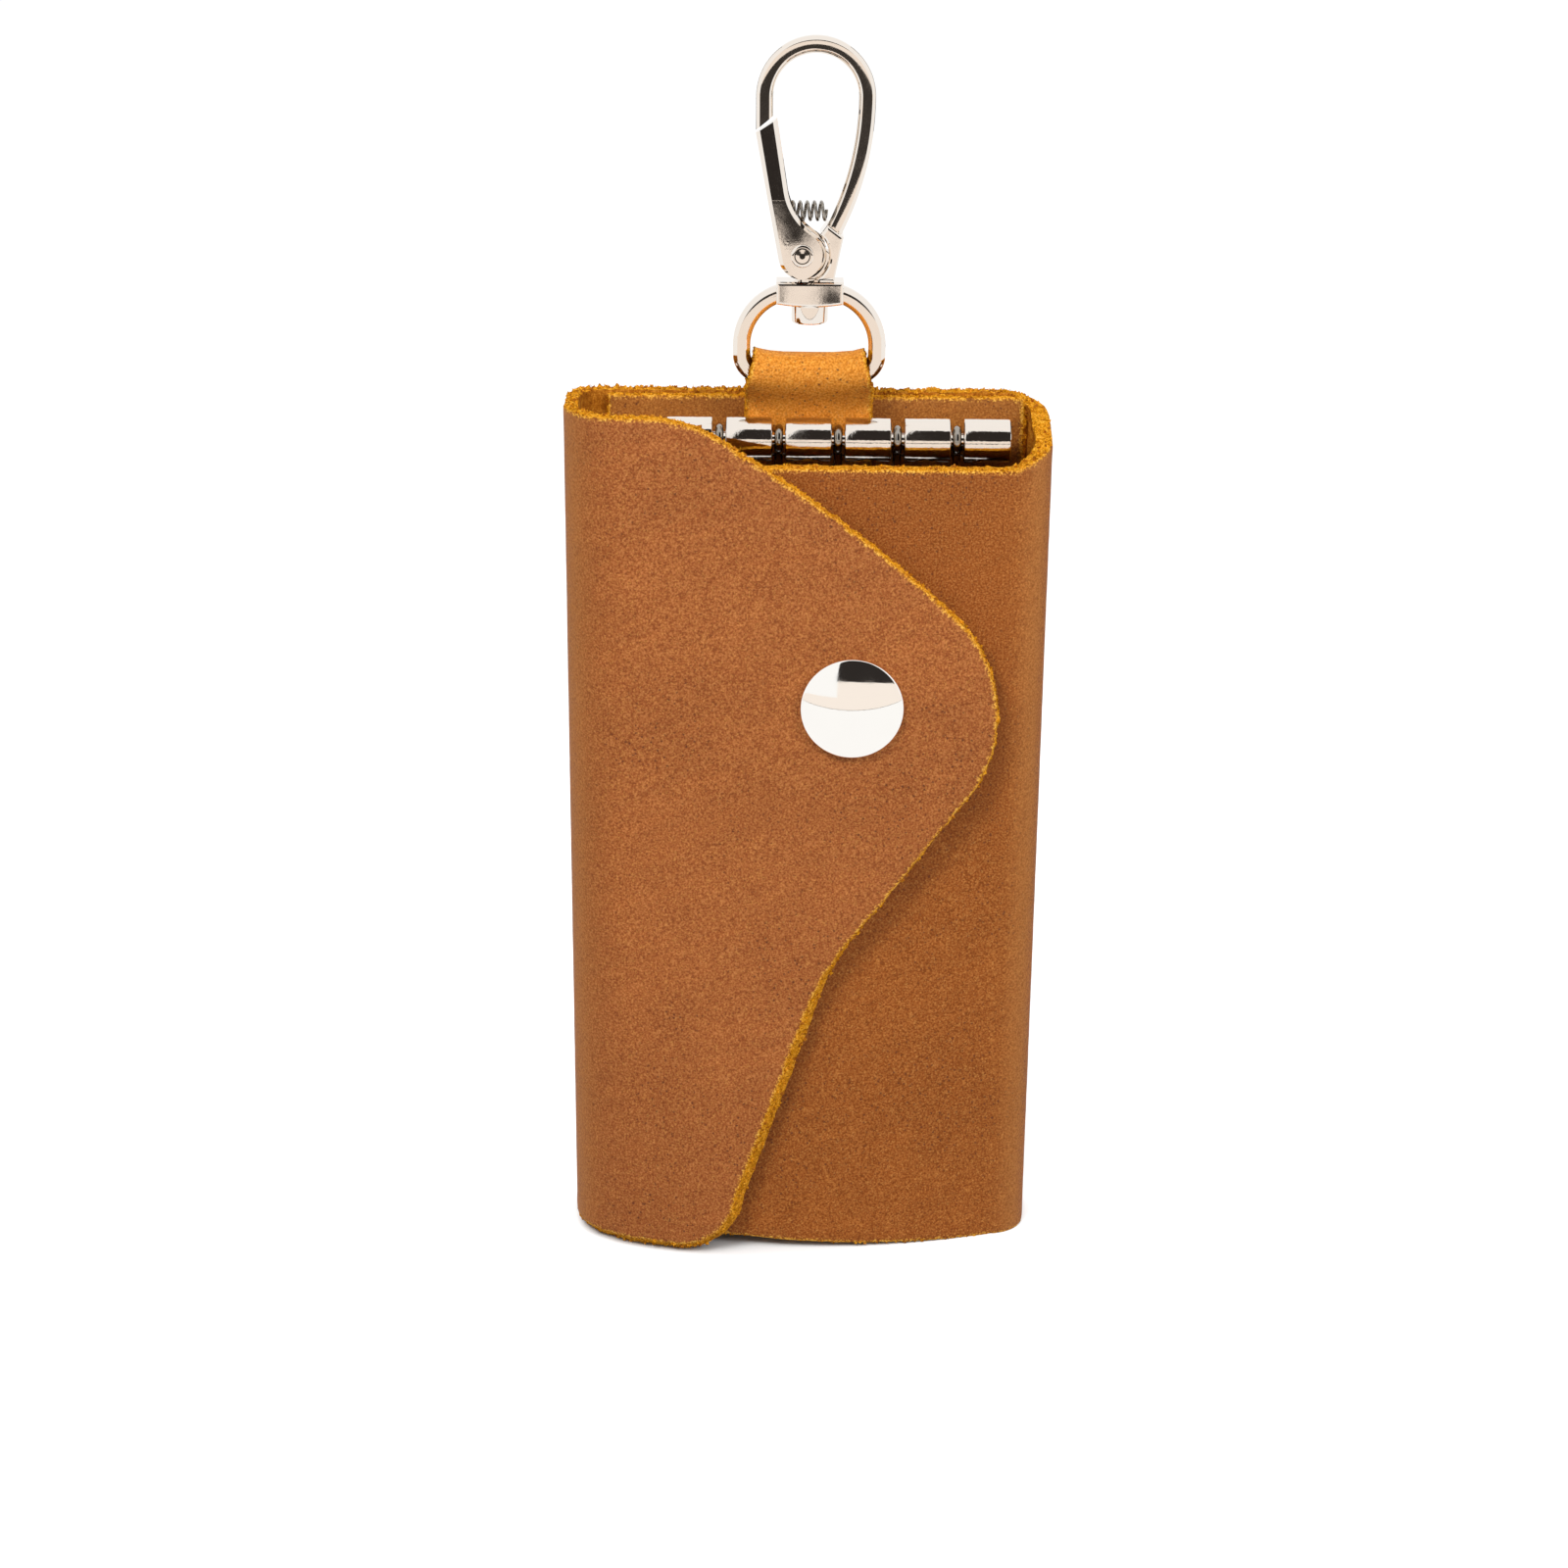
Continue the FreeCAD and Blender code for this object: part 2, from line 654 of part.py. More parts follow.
# Gate spring: one unbroken wire, each half turn drawn as two tangent arcs
def spring_ends():
    heel_rise = pivot_rise - gate_heel_drop
    heel_side = pivot_side - math.sqrt(cheek_radius * cheek_radius - gate_heel_drop * gate_heel_drop)
    web_lean = (heel_side - gate_left) / (gate_tip_rise - heel_rise)
    low = spring_rise - spring_radius - spring_wire / 2
    start = heel_side + gate_web - web_lean * (low - heel_rise) + spring_wire / 2 + spring_seat
    drop = bow_rise - limb_foot_rise
    lean_radius = (limb_lean * limb_lean + drop * drop) / (2 * limb_lean)
    fall = bow_rise - low
    limb = bow_right - lean_radius + math.sqrt(lean_radius * lean_radius - fall * fall)
    end = limb - hook_stock / 2 - spring_wire / 2 - spring_seat
    return start, end


def helix_place(turn, pitch):
    angle = 2 * math.pi * turn
    return FreeCAD.Vector(pitch * turn, spring_radius * math.cos(angle), spring_radius * math.sin(angle))


def helix_heading(turn, pitch):
    angle = 2 * math.pi * turn
    around = 2 * math.pi * spring_radius
    return FreeCAD.Vector(pitch, -around * math.sin(angle), around * math.cos(angle)).normalize()


def tangent_arc(start, heading, end):
    chord = end - start
    bend = chord * (1 / chord.Length)
    normal = heading - bend * heading.dot(bend)
    half = math.acos(min(1.0, heading.dot(bend))) / 2
    middle = (start + end) * 0.5 + normal.normalize() * (chord.Length / 2 * math.tan(half))
    return Part.Arc(start, middle, end)


def make_gate_spring():
    start_x, end_x = spring_ends()
    pitch = (end_x - start_x) / spring_turns
    arcs = []
    for step in range(int(2 * spring_turns)):
        first, last = helix_place(step / 2, pitch), helix_place((step + 1) / 2, pitch)
        leave, arrive = helix_heading(step / 2, pitch), helix_heading((step + 1) / 2, pitch)
        span = last - first
        square = 2 * (1 - leave.dot(arrive))
        slope = span.dot(leave + arrive)
        reach = (-slope + math.sqrt(slope * slope + square * span.dot(span))) / square
        from_first = first + leave * reach
        to_last = last - arrive * reach
        knot = (from_first + to_last) * 0.5
        arcs.append(tangent_arc(first, leave, knot))
        arcs.append(tangent_arc(knot, (to_last - from_first).normalize(), last))
    spring = sweep_stock(arcs, spring_wire / 2, spring_wire_sides)
    samples = 400
    points = [helix_place(spring_turns * index / samples, pitch) for index in range(samples + 1)]
    skip = int(samples / spring_turns / 2)
    nearest = min((a - b).Length for index, a in enumerate(points) for b in points[index + skip:])
    print("gate spring: least gap to itself", round(nearest - spring_wire, 3), "mm")
    spring.translate(hook_spot(start_x, spring_rise))
    return spring


save("back_panel", make_back_panel())
save("left_spine", make_spine(-1, flap_depth, flap_corner))
save("right_spine", make_right_spine())
save("flap", make_flap())
save("front_panel", make_front_panel())
save("inner_lining", make_lining())
save("hanging_strap", make_strap())
save("key_plate", make_key_plate())
save("key_rod", make_key_rod())
save("plate_rivets", make_plate_rivets())
for number, place in enumerate(hook_places(), start=1):
    save("key_hook_" + str(number), make_key_hook(place))
save("snap_cap", make_snap_cap())
save("snap_socket", make_snap_socket())
save("socket_spring", Part.makeCompound(grip_wires(grip_wire / 2)))
save("snap_stud", make_snap_stud())
save("stud_post", make_stud_post())
save("swivel_ring", make_swivel_ring())
save("swivel_stud", make_swivel_stud())
save("hook_frame", make_hook_frame())
save("gate_pin", make_gate_pin())
save("hook_gate", make_hook_gate())
save("gate_spring", make_gate_spring())
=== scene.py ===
import bpy
import math
import numpy as np
from mathutils import Vector, Matrix, geometry, noise


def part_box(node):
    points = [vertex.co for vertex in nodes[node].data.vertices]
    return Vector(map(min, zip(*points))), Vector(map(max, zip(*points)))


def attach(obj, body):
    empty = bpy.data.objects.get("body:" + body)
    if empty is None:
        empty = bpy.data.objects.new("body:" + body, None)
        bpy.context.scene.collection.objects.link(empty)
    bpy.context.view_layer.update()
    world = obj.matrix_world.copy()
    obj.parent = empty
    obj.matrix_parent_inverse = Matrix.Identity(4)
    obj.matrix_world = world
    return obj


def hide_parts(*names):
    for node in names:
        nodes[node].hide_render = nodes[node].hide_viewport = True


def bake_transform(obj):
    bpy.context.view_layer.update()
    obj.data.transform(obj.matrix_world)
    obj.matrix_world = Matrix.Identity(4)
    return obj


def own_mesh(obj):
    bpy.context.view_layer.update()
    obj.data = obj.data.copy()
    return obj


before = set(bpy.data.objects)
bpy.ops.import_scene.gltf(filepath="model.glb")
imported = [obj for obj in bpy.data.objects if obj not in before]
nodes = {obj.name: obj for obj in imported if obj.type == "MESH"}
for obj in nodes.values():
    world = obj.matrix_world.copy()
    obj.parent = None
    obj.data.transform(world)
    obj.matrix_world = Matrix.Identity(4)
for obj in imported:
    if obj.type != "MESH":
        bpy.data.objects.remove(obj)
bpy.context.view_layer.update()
mm = 0.001
quarter = math.pi / 2
print("frame loaded:", len(nodes), "CAD nodes")


def hexColour(code):  # sRGB hex to linear RGBA
    parts = [int(code[i:i + 2], 16) / 255 for i in (1, 3, 5)]
    return [c / 12.92 if c <= 0.04045 else ((c + 0.055) / 1.055) ** 2.4 for c in parts] + [1.0]


def perMetre(sizeMm):  # texture scale for a pattern of this size
    return 1000.0 / sizeMm


def cleared(owner):  # a material or world with an empty node tree
    owner.use_nodes = True
    owner.node_tree.nodes.clear()
    return owner


def addNode(owner, kind, inputs=None, stops=(), **settings):  # a node with its settings, ramp stops and links
    node = owner.node_tree.nodes.new("ShaderNode" + kind)
    for key, value in settings.items():
        setattr(node, key, value)
    if stops:
        ramp = node.color_ramp.elements
        ramp.new(0.5)  # the third stop
        for element, (place, code) in zip(ramp, stops):
            element.position, element.color = place, hexColour(code)
    for socket, value in (inputs or {}).items():
        if isinstance(value, bpy.types.Node):  # a node stands for its first output in use
            value = next(out for out in value.outputs if out.enabled)
        if isinstance(value, bpy.types.NodeSocket):
            owner.node_tree.links.new(value, node.inputs[socket])
        else:
            node.inputs[socket].default_value = value
    return node


# Waxed pull-up cowhide, drum dyed and oiled: a dull glow, an even tan broken by fine grain, dark pores and
# golden specks, faint slanting streaks, paler where the wax has moved at the folds, gold where the knife cut.
leather = {
    "pore": "#5E3522", "speck": "#D0904A", "worn": "#BE7E44", "edge": ("#94540E", "#D68E20", "#F0BC52"),
    "grainMm": 0.27, "poreMm": 0.78, "speckMm": 0.23,  # drawn as coarse as they need to be to show
    "streakMm": 1.5, "cloudMm": 15.0,
    "streakLean": -0.42, "streakStretch": (5.0, 2.0, 0.8), "toneStops": (0.33, 0.5, 0.67),
    "edgeStops": (0.35, 0.5, 0.68), "edgeTear": 1.8, "shadeLow": 0.93, "shadeHigh": 1.07,
    "sheen": 0.5, "dullness": 0.68, "grainDepthMm": 0.06, "poreDepthMm": 0.05}


def makeLeather(name, *tones):
    m = cleared(bpy.data.materials.new(name))
    place = addNode(m, "TexCoord").outputs["Object"]
    slanted = addNode(m, "Mapping", {"Vector": place, "Rotation": (0, leather["streakLean"], 0),
                                     "Scale": leather["streakStretch"]}, vector_type="TEXTURE")
    grain, speck, cloud = [
        addNode(m, "TexNoise", {"Vector": place, "Scale": perMetre(leather[size]), "Detail": detail})
        for size, detail in (("grainMm", 2.0), ("speckMm", 1.0), ("cloudMm", 4.0))]
    pore = addNode(m, "TexVoronoi", {"Vector": place, "Scale": perMetre(leather["poreMm"])})
    streak = addNode(m, "TexNoise", {"Vector": slanted, "Scale": perMetre(leather["streakMm"]), "Detail": 4.0,
                                     "Roughness": 0.65})
    tone = addNode(m, "ValToRGB", {"Fac": grain}, list(zip(leather["toneStops"], tones)))
    patch = addNode(m, "MapRange", {"Value": cloud, "From Min": 0.56, "From Max": 0.42, "To Min": 0.3,
                                    "To Max": 0.85})
    poreMask = addNode(m, "MapRange", {"Value": pore, "From Min": 0.25, "From Max": 0.12, "To Max": patch})
    speckMask = addNode(m, "MapRange", {"Value": speck, "From Min": 0.57, "From Max": 0.72, "To Max": 0.6})
    streakShade, cloudShade = [
        addNode(m, "MapRange", {"Value": pattern, "From Min": 0.3, "From Max": 0.7, "To Min": leather["shadeLow"],
                                "To Max": leather["shadeHigh"]}) for pattern in (streak, cloud)]
    shade = addNode(m, "Math", {0: streakShade, 1: cloudShade}, operation="MULTIPLY")
    wornShare = addNode(m, "Attribute", attribute_name="wornShare").outputs["Fac"]
    wornMask = addNode(m, "Math", {0: wornShare, 1: grain}, operation="MULTIPLY")
    edgeShare = addNode(m, "Attribute", attribute_name="edgeShare").outputs["Fac"]
    ragged = addNode(m, "Math", {0: grain, 1: -0.5}, operation="ADD")
    torn = addNode(m, "Math", {0: ragged, 1: leather["edgeTear"], 2: edgeShare}, operation="MULTIPLY_ADD",
                   use_clamp=True)
    cutMask = addNode(m, "MapRange", {"Value": torn, "From Min": 0.4, "From Max": 0.8})
    gold = addNode(m, "ValToRGB", {"Fac": grain}, list(zip(leather["edgeStops"], leather["edge"])))
    colour = tone
    for share, over, blend in ((poreMask, hexColour(leather["pore"]), "MIX"),
                               (speckMask, hexColour(leather["speck"]), "MIX"), (1.0, shade, "MULTIPLY"),
                               (wornMask, hexColour(leather["worn"]), "MIX"), (cutMask, gold, "MIX")):
        colour = addNode(m, "Mix", {"Factor": share, 6: colour, 7: over},  # 6 and 7 are the two colours
                         data_type="RGBA", blend_type=blend)
    relief = addNode(m, "Bump", {"Height": grain, "Strength": 0.6, "Distance": leather["grainDepthMm"] * mm})
    pits = addNode(m, "Bump", {"Height": poreMask, "Strength": 0.5, "Distance": leather["poreDepthMm"] * mm,
                               "Normal": relief}, invert=True)
    gloss = addNode(m, "MapRange", {"Value": streak, "To Min": leather["sheen"], "To Max": leather["dullness"]})
    surface = addNode(m, "BsdfPrincipled", {"Base Color": colour, "Roughness": gloss, "IOR": 1.45, "Normal": pits,
                                            "Specular IOR Level": 0.16})
    addNode(m, "OutputMaterial", {"Surface": surface})
    return m


# Flesh side, shaved and dyed through: matt, napped, orange brown with darker tufts. The nap is drawn coarse to show.
fleshSide = {"tones": ("#78400C", "#AA6418", "#D69434"), "tuftMm": 0.9, "napMm": 0.22, "depthMm": 0.09}
# Cut edge of undyed-looking fibre: golden, crumbly, no gloss.
cutEdge = {"tones": ("#6E3804", "#D68C14", "#FAC048"), "tuftMm": 0.42, "napMm": 0.2, "depthMm": 0.14}
napStops = (0.34, 0.5, 0.66)


def makeFlesh(name, finish):
    m = cleared(bpy.data.materials.new(name))
    place = addNode(m, "TexCoord").outputs["Object"]
    tuft = addNode(m, "TexNoise", {"Vector": place, "Scale": perMetre(finish["tuftMm"]), "Detail": 4.0,
                                   "Roughness": 0.7})
    nap = addNode(m, "TexNoise", {"Vector": place, "Scale": perMetre(finish["napMm"]), "Detail": 2.0})
    pile = addNode(m, "Mix", {"Factor": 0.35, 2: tuft, 3: nap})  # 2 and 3 are the two numbers
    tone = addNode(m, "ValToRGB", {"Fac": pile}, list(zip(napStops, finish["tones"])))
    relief = addNode(m, "Bump", {"Height": pile, "Strength": 0.8, "Distance": finish["depthMm"] * mm})
    surface = addNode(m, "BsdfPrincipled", {"Base Color": tone, "Roughness": 0.92, "Normal": relief,
                                            "Specular IOR Level": 0.1})
    addNode(m, "OutputMaterial", {"Surface": surface})
    return m


# Polished nickel plate over die-cast zinc: bright mirror, faint warm tone, soft wear haze.
nickel = {"polish": 0.02, "hazeMm": 3.0, "pitMm": 0.35, "pitDepthMm": 0.02}  # real pits are finer than would show


def makeNickel(name, tone, haze, pitting):
    m = cleared(bpy.data.materials.new(name))
    place = addNode(m, "TexCoord").outputs["Object"]
    cloud, pits = [addNode(m, "TexNoise", {"Vector": place, "Scale": perMetre(nickel[size]), "Detail": detail})
                   for size, detail in (("hazeMm", 4.0), ("pitMm", 3.0))]
    shine = addNode(m, "MapRange", {"Value": cloud, "From Min": 0.35, "From Max": 0.7, "To Min": nickel["polish"],
                                    "To Max": haze})
    relief = addNode(m, "Bump", {"Height": pits, "Strength": pitting, "Distance": nickel["pitDepthMm"] * mm})
    surface = addNode(m, "BsdfPrincipled", {"Base Color": hexColour(tone), "Metallic": 1.0, "Roughness": shine,
                                            "Normal": relief})
    addNode(m, "OutputMaterial", {"Surface": surface})
    return m


flapLeather = makeLeather("waxed_pull_up_leather", "#874823", "#A35C2E", "#BC7642")
panelShadedLeather = makeLeather("waxed_pull_up_leather_panel_painted_shade", "#7C4016", "#985321", "#B26C32")  # a browner hide, its tones also darkened as painted shade for the front panel
strapLeather = makeLeather("waxed_strap_leather", "#C2701E", "#DC8A2E", "#ECA646")  # stretched, so paler
liningLeather = makeLeather("skived_lining_leather", "#8A5020", "#A3622A", "#B87736")  # thin and little waxed
fleshLeather = makeFlesh("shaved_flesh_side", fleshSide)
edgeLeather = makeFlesh("raw_cut_leather_edge", cutEdge)
castNickel = makeNickel("polished_nickel_plate", "#F2E9DF", haze=0.07, pitting=0.03)
capLitNickel = makeNickel("pressed_nickel_plate_painted_brighter", "#FCF9F4", haze=0.1, pitting=0.06)  # whiter: painted light, as the cap shows brighter than the hook; softly mirrored
rowNickel = makeNickel("barrelled_nickel_plate", "#F2E9DF", haze=0.14, pitting=0.5)  # tumbled: a grainy mirror
grooveShadeSteel = makeNickel("groove_painted_shade_steel", "#3A3632", haze=0.4, pitting=0.3)  # near black, dull: painted shade for the rivet's ring groove
wireSteel = makeNickel("drawn_spring_steel_wire", "#A8A29A", haze=0.22, pitting=0.1)  # grey, satin
print("materials ready")


def addObject(name, data):
    thing = bpy.data.objects.new(name, data)
    bpy.context.collection.objects.link(thing)
    return thing


def addPiece(name, pointsMm, faces, finishes, materials, sharp):  # a smooth mesh with its materials
    mesh = bpy.data.meshes.new(name)
    mesh.from_pydata((np.array(pointsMm) * mm).tolist(), [], faces)
    for material in materials:
        mesh.materials.append(material)
    mesh.polygons.foreach_set("material_index", finishes)
    mesh.polygons.foreach_set("use_smooth", [True] * len(faces))
    mesh.set_sharp_from_angle(angle=math.radians(sharp))
    return addObject(name, mesh)


def boxMm(node):
    return [[c / mm for c in end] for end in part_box(node)]


def unit(rows):  # directions at length 1
    return rows / np.maximum(np.linalg.norm(rows, axis=-1, keepdims=True), 1e-9)


def smoothStep(t):  # 0 to 1 with a soft start and end
    return t * t * (3 - 2 * t)


def runLength(points):  # distance along a line of points
    return np.concatenate([[0], np.cumsum(np.hypot(*np.diff(points, axis=0).T))])


# The wrap's sizes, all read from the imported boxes, in millimetres
backLow, backHigh = boxMm("back_panel")
flapLow, flapHigh = boxMm("flap")
panelLow, panelHigh = boxMm("front_panel")
thick, height, backY = backHigh[1] - backLow[1], backHigh[2], backHigh[1]
flapY, panelY = flapLow[1], panelLow[1]
leftX, rightX = boxMm("left_spine")[0][0], boxMm("right_spine")[1][0]
leftMid, rightMid = (backY + flapY) / 2, (backY + panelY) / 2
corner = {"back": backLow[0] - leftX, "flap": flapLow[0] - leftX, "front": rightX - panelHigh[0]}
wrap = {"pathStepMm": 0.12, "edgeStepMm": 0.34, "gridMm": 1.8, "gridShakeMm": 0.15, "gridEdgeMm": 0.7,
        "rings": ((0.13, 1), (0.36, 1), (0.8, 2), (1.5, 4)),  # inset from a raw edge, every how many points
        "ringKeep": 0.93, "ringGapMm": 0.6, "foldWearMm": 2.2, "wear": 1.15,
        "hairMm": 0.01}  # a hair's run starts the right turn
belly = {"outMm": 4.3, "halfMm": 26.0, "topMm": 67.0}
cut = {"wavers": ((0.65, 1.7, 0), (0.45, 0.55, 9)),  # share, size in mm, seed step
       "waverMm": 0.13, "waverGain": 1.6, "edgeWidthMm": 0.62, "edgeRoundMm": 0.22, "edgeDropMm": 0.16,
       "underRiseMm": 0.1, "roughMm": 0.05, "roughSizeMm": 0.5, "roughReachMm": 0.6, "swellReachMm": 1.2,
       "roughSeed": 3, "wallLoops": 4, "wallBow": 0.5, "crumbMm": 0.18, "sharp": 55,
       "tufts": ((1.0, 0.45, 20), (0.6, 0.2, 40))}  # share, size in mm, seed step


def joinPath(parts):  # plan line of an outer face: arc length, and rows of (x, y, outward x, outward y)
    rows = []
    for kind, *part in parts:
        if kind == "run":
            start, end, out = part
            count = max(2, int(math.dist(start, end) / wrap["pathStepMm"]))
            for i in range(count + 1):
                t = i / count
                rows.append((start[0] + (end[0] - start[0]) * t, start[1] + (end[1] - start[1]) * t, *out))
        else:
            centre, radius, a0, a1, sign = part
            count = max(8, int(abs(a1 - a0) * radius / wrap["pathStepMm"]))
            for i in range(count + 1):
                a = a0 + (a1 - a0) * i / count
                rows.append((centre[0] + radius * math.cos(a), centre[1] + radius * math.sin(a),
                             sign * math.cos(a), sign * math.sin(a)))
    rows = np.array(rows)
    rows = rows[np.concatenate([[True], np.hypot(*np.diff(rows[:, :2], axis=0).T) > 1e-6])]  # no repeated points
    return runLength(rows[:, :2]), rows


def planPlace(path, bulge=None):  # maps (along, up) in millimetres to a point and its outward direction
    length, rows = path

    def place(s, z):
        x, y, outX, outY = (np.interp(s, length, rows[:, i]) for i in range(4))
        swell = bulge(x, z) if bulge else 0.0
        return np.stack([x, y - swell, z], axis=1), np.stack([outX, outY, np.zeros_like(s)], axis=1)
    return place


def frontSwell(x, z):  # the front bows out towards its open foot
    across = np.clip(1 - (x / belly["halfMm"]) ** 2, 0, 1)
    rise = np.clip(1 - z / belly["topMm"], 0, 1)
    return belly["outMm"] * across * smoothStep(rise)


def foldWear(centre, width=wrap["foldWearMm"]):  # pale band where the leather turns
    return lambda s, z: wrap["wear"] * np.exp(-((s - centre) / width) ** 2)


def arcThrough(a, b, c, step=wrap["edgeStepMm"]):  # points on the arc from a through b to c
    (ax, ay), (bx, by), (cx, cy) = a, b, c
    aa, bb, cc = ax * ax + ay * ay, bx * bx + by * by, cx * cx + cy * cy
    d = 2 * (ax * (by - cy) + bx * (cy - ay) + cx * (ay - by))
    ux = (aa * (by - cy) + bb * (cy - ay) + cc * (ay - by)) / d
    uy = (aa * (cx - bx) + bb * (ax - cx) + cc * (bx - ax)) / d
    radius = math.dist(a, (ux, uy))
    a0, a1, a2 = (math.atan2(p[1] - uy, p[0] - ux) for p in (a, b, c))
    turn = (a2 - a0) % (2 * math.pi)
    if (a1 - a0) % (2 * math.pi) > turn:
        turn -= 2 * math.pi
    count = max(3, int(abs(turn) * radius / step))
    return [(ux + radius * math.cos(a0 + turn * i / count), uy + radius * math.sin(a0 + turn * i / count))
            for i in range(1, count + 1)]


def waver(points, sizeMm, seed):  # smooth noise along an edge, about -1 to 1
    return np.array([noise.noise(Vector((p[0] / sizeMm, p[1] / sizeMm, p[2] / sizeMm + seed))) * cut["waverGain"]
                     for p in points])


def edgeGap(points, starts, ends):  # distance from each point to the nearest of these edges
    best = np.full(len(points), 1e9)
    for a, b in zip(starts, ends):
        d = b - a
        t = np.clip(((points - a) @ d) / max(d @ d, 1e-12), 0, 1)
        best = np.minimum(best, np.hypot(*(points - a - t[:, None] * d).T))
    return best


def insideLine(points, starts, ends):  # even-odd test against the outline
    inside = np.zeros(len(points), bool)
    x, y = points.T
    for a, b in zip(starts, ends):
        if a[1] != b[1]:
            inside ^= ((a[1] > y) != (b[1] > y)) & (x < (b[0] - a[0]) * (y - a[1]) / (b[1] - a[1]) + a[0])
    return inside


def walkOutline(outline):  # even steps along the outline, close together where its edge is raw
    corners = np.array([p[:2] for p in outline], float)
    line, rawEdge = [], []
    for (*_, raw), point, after in zip(outline, corners, np.roll(corners, -1, 0)):
        step = wrap["edgeStepMm"] if raw else wrap["gridMm"]
        count = max(1, int(round(math.dist(point, after) / step)))
        line += [point + (after - point) * k / count for k in range(count)]
        rawEdge += [raw] * count
    return np.array(line), np.array(rawEdge, bool)


# Loose bits of a raw edge: slim bent fibres pulled out of it, and eight-sided crumbs
fibre = {"perMm": 2.2, "lengthMm": (0.2, 0.7), "lengthShare": (0.5, 1.0), "wideMm": 0.09, "wideShare": (0.6, 1.4),
         "wallShare": (0.02, 0.98), "rootMm": 0.15, "off": (0.5, 1.0), "tilt": 0.45, "lean": 0.7, "bend": 0.3,
         "spokes": (0, 2.1, 4.2), "midReach": 0.5, "midBend": 0.4, "midWide": 0.7,
         "faces": ((0, 2, 1), (0, 1, 4, 3), (3, 4, 6), (1, 2, 5, 4), (4, 5, 6), (2, 0, 3, 5), (5, 3, 6))}
crumb = {"perMm": 7.0, "sizeMm": (0.09, 0.31), "sizeShare": (0.6, 1.3), "offMm": (-0.06, 0.12), "fleshShare": 0.25,
         "faces": ((0, 2, 4), (5, 2, 0), (4, 3, 0), (0, 3, 5), (4, 2, 1), (1, 2, 5), (1, 3, 4), (5, 3, 1))}


def pulledFibre(rng, root, off, out, ahead, scale):
    lean = unit(off * rng.uniform(*fibre["off"]) + out * rng.normal(0, fibre["tilt"])
                + ahead * rng.normal(0, fibre["lean"]))
    reach = scale * rng.uniform(*fibre["lengthMm"]) * rng.uniform(*fibre["lengthShare"])
    bend = rng.normal(0, fibre["bend"], 3) * reach
    wide = unit(np.cross(lean, rng.normal(0, 1, 3)))
    other = np.cross(lean, wide)
    girth = fibre["wideMm"] * rng.uniform(*fibre["wideShare"]) / 2
    spokes = [girth * (wide * math.cos(a) + other * math.sin(a)) for a in fibre["spokes"]]
    middle = root + lean * (fibre["rootMm"] + fibre["midReach"] * reach) + bend * fibre["midBend"]
    tip = root + lean * (fibre["rootMm"] + reach) + bend
    return [root + s for s in spokes] + [middle + s * fibre["midWide"] for s in spokes] + [tip]


def looseCrumb(rng, centre, scale):
    size = scale * rng.uniform(*crumb["sizeMm"])
    one = unit(rng.normal(0, 1, 3))
    two = unit(np.cross(one, rng.normal(0, 1, 3)))
    reach = size * rng.uniform(*crumb["sizeShare"], 6)
    return [centre + axis * side * reach[2 * k + (side < 0)]
            for k, axis in enumerate((one, two, np.cross(one, two))) for side in (1, -1)]


def fillOutline(rng, line, after, inward, rawPoint, raws):  # triangles, finer towards the raw edges
    n = len(line)
    points = [line]
    for inset, every in wrap["rings"]:
        ring = line + inward * inset
        points.append(ring[(edgeGap(ring, line, after) > wrap["ringKeep"] * inset) & rawPoint][::every])
    low, high = line.min(0) + wrap["gridEdgeMm"], line.max(0)
    columns = np.meshgrid(*(np.arange(low[i], high[i], wrap["gridMm"]) for i in (0, 1)))
    grid = np.stack([c.ravel() for c in columns], 1)
    grid = grid + rng.uniform(-wrap["gridShakeMm"], wrap["gridShakeMm"], grid.shape)
    grid = grid[insideLine(grid, line, after)]
    apart = edgeGap(grid, *raws) > wrap["rings"][-1][0] + wrap["ringGapMm"]
    points = np.vstack(points + [grid[apart & (edgeGap(grid, line, after) > wrap["gridEdgeMm"])]])
    edges = [(i, (i + 1) % n) for i in range(n)]
    made = geometry.delaunay_2d_cdt([Vector(p) for p in points], edges, [], 1, 1e-6)
    newIndex = {source: i for i, sources in enumerate(made[3]) for source in sources}
    loop = np.array([newIndex[i] for i in range(n)])  # where the outline's points went
    return np.array([v[:] for v in made[0]]), [list(f) for f in made[2]], loop


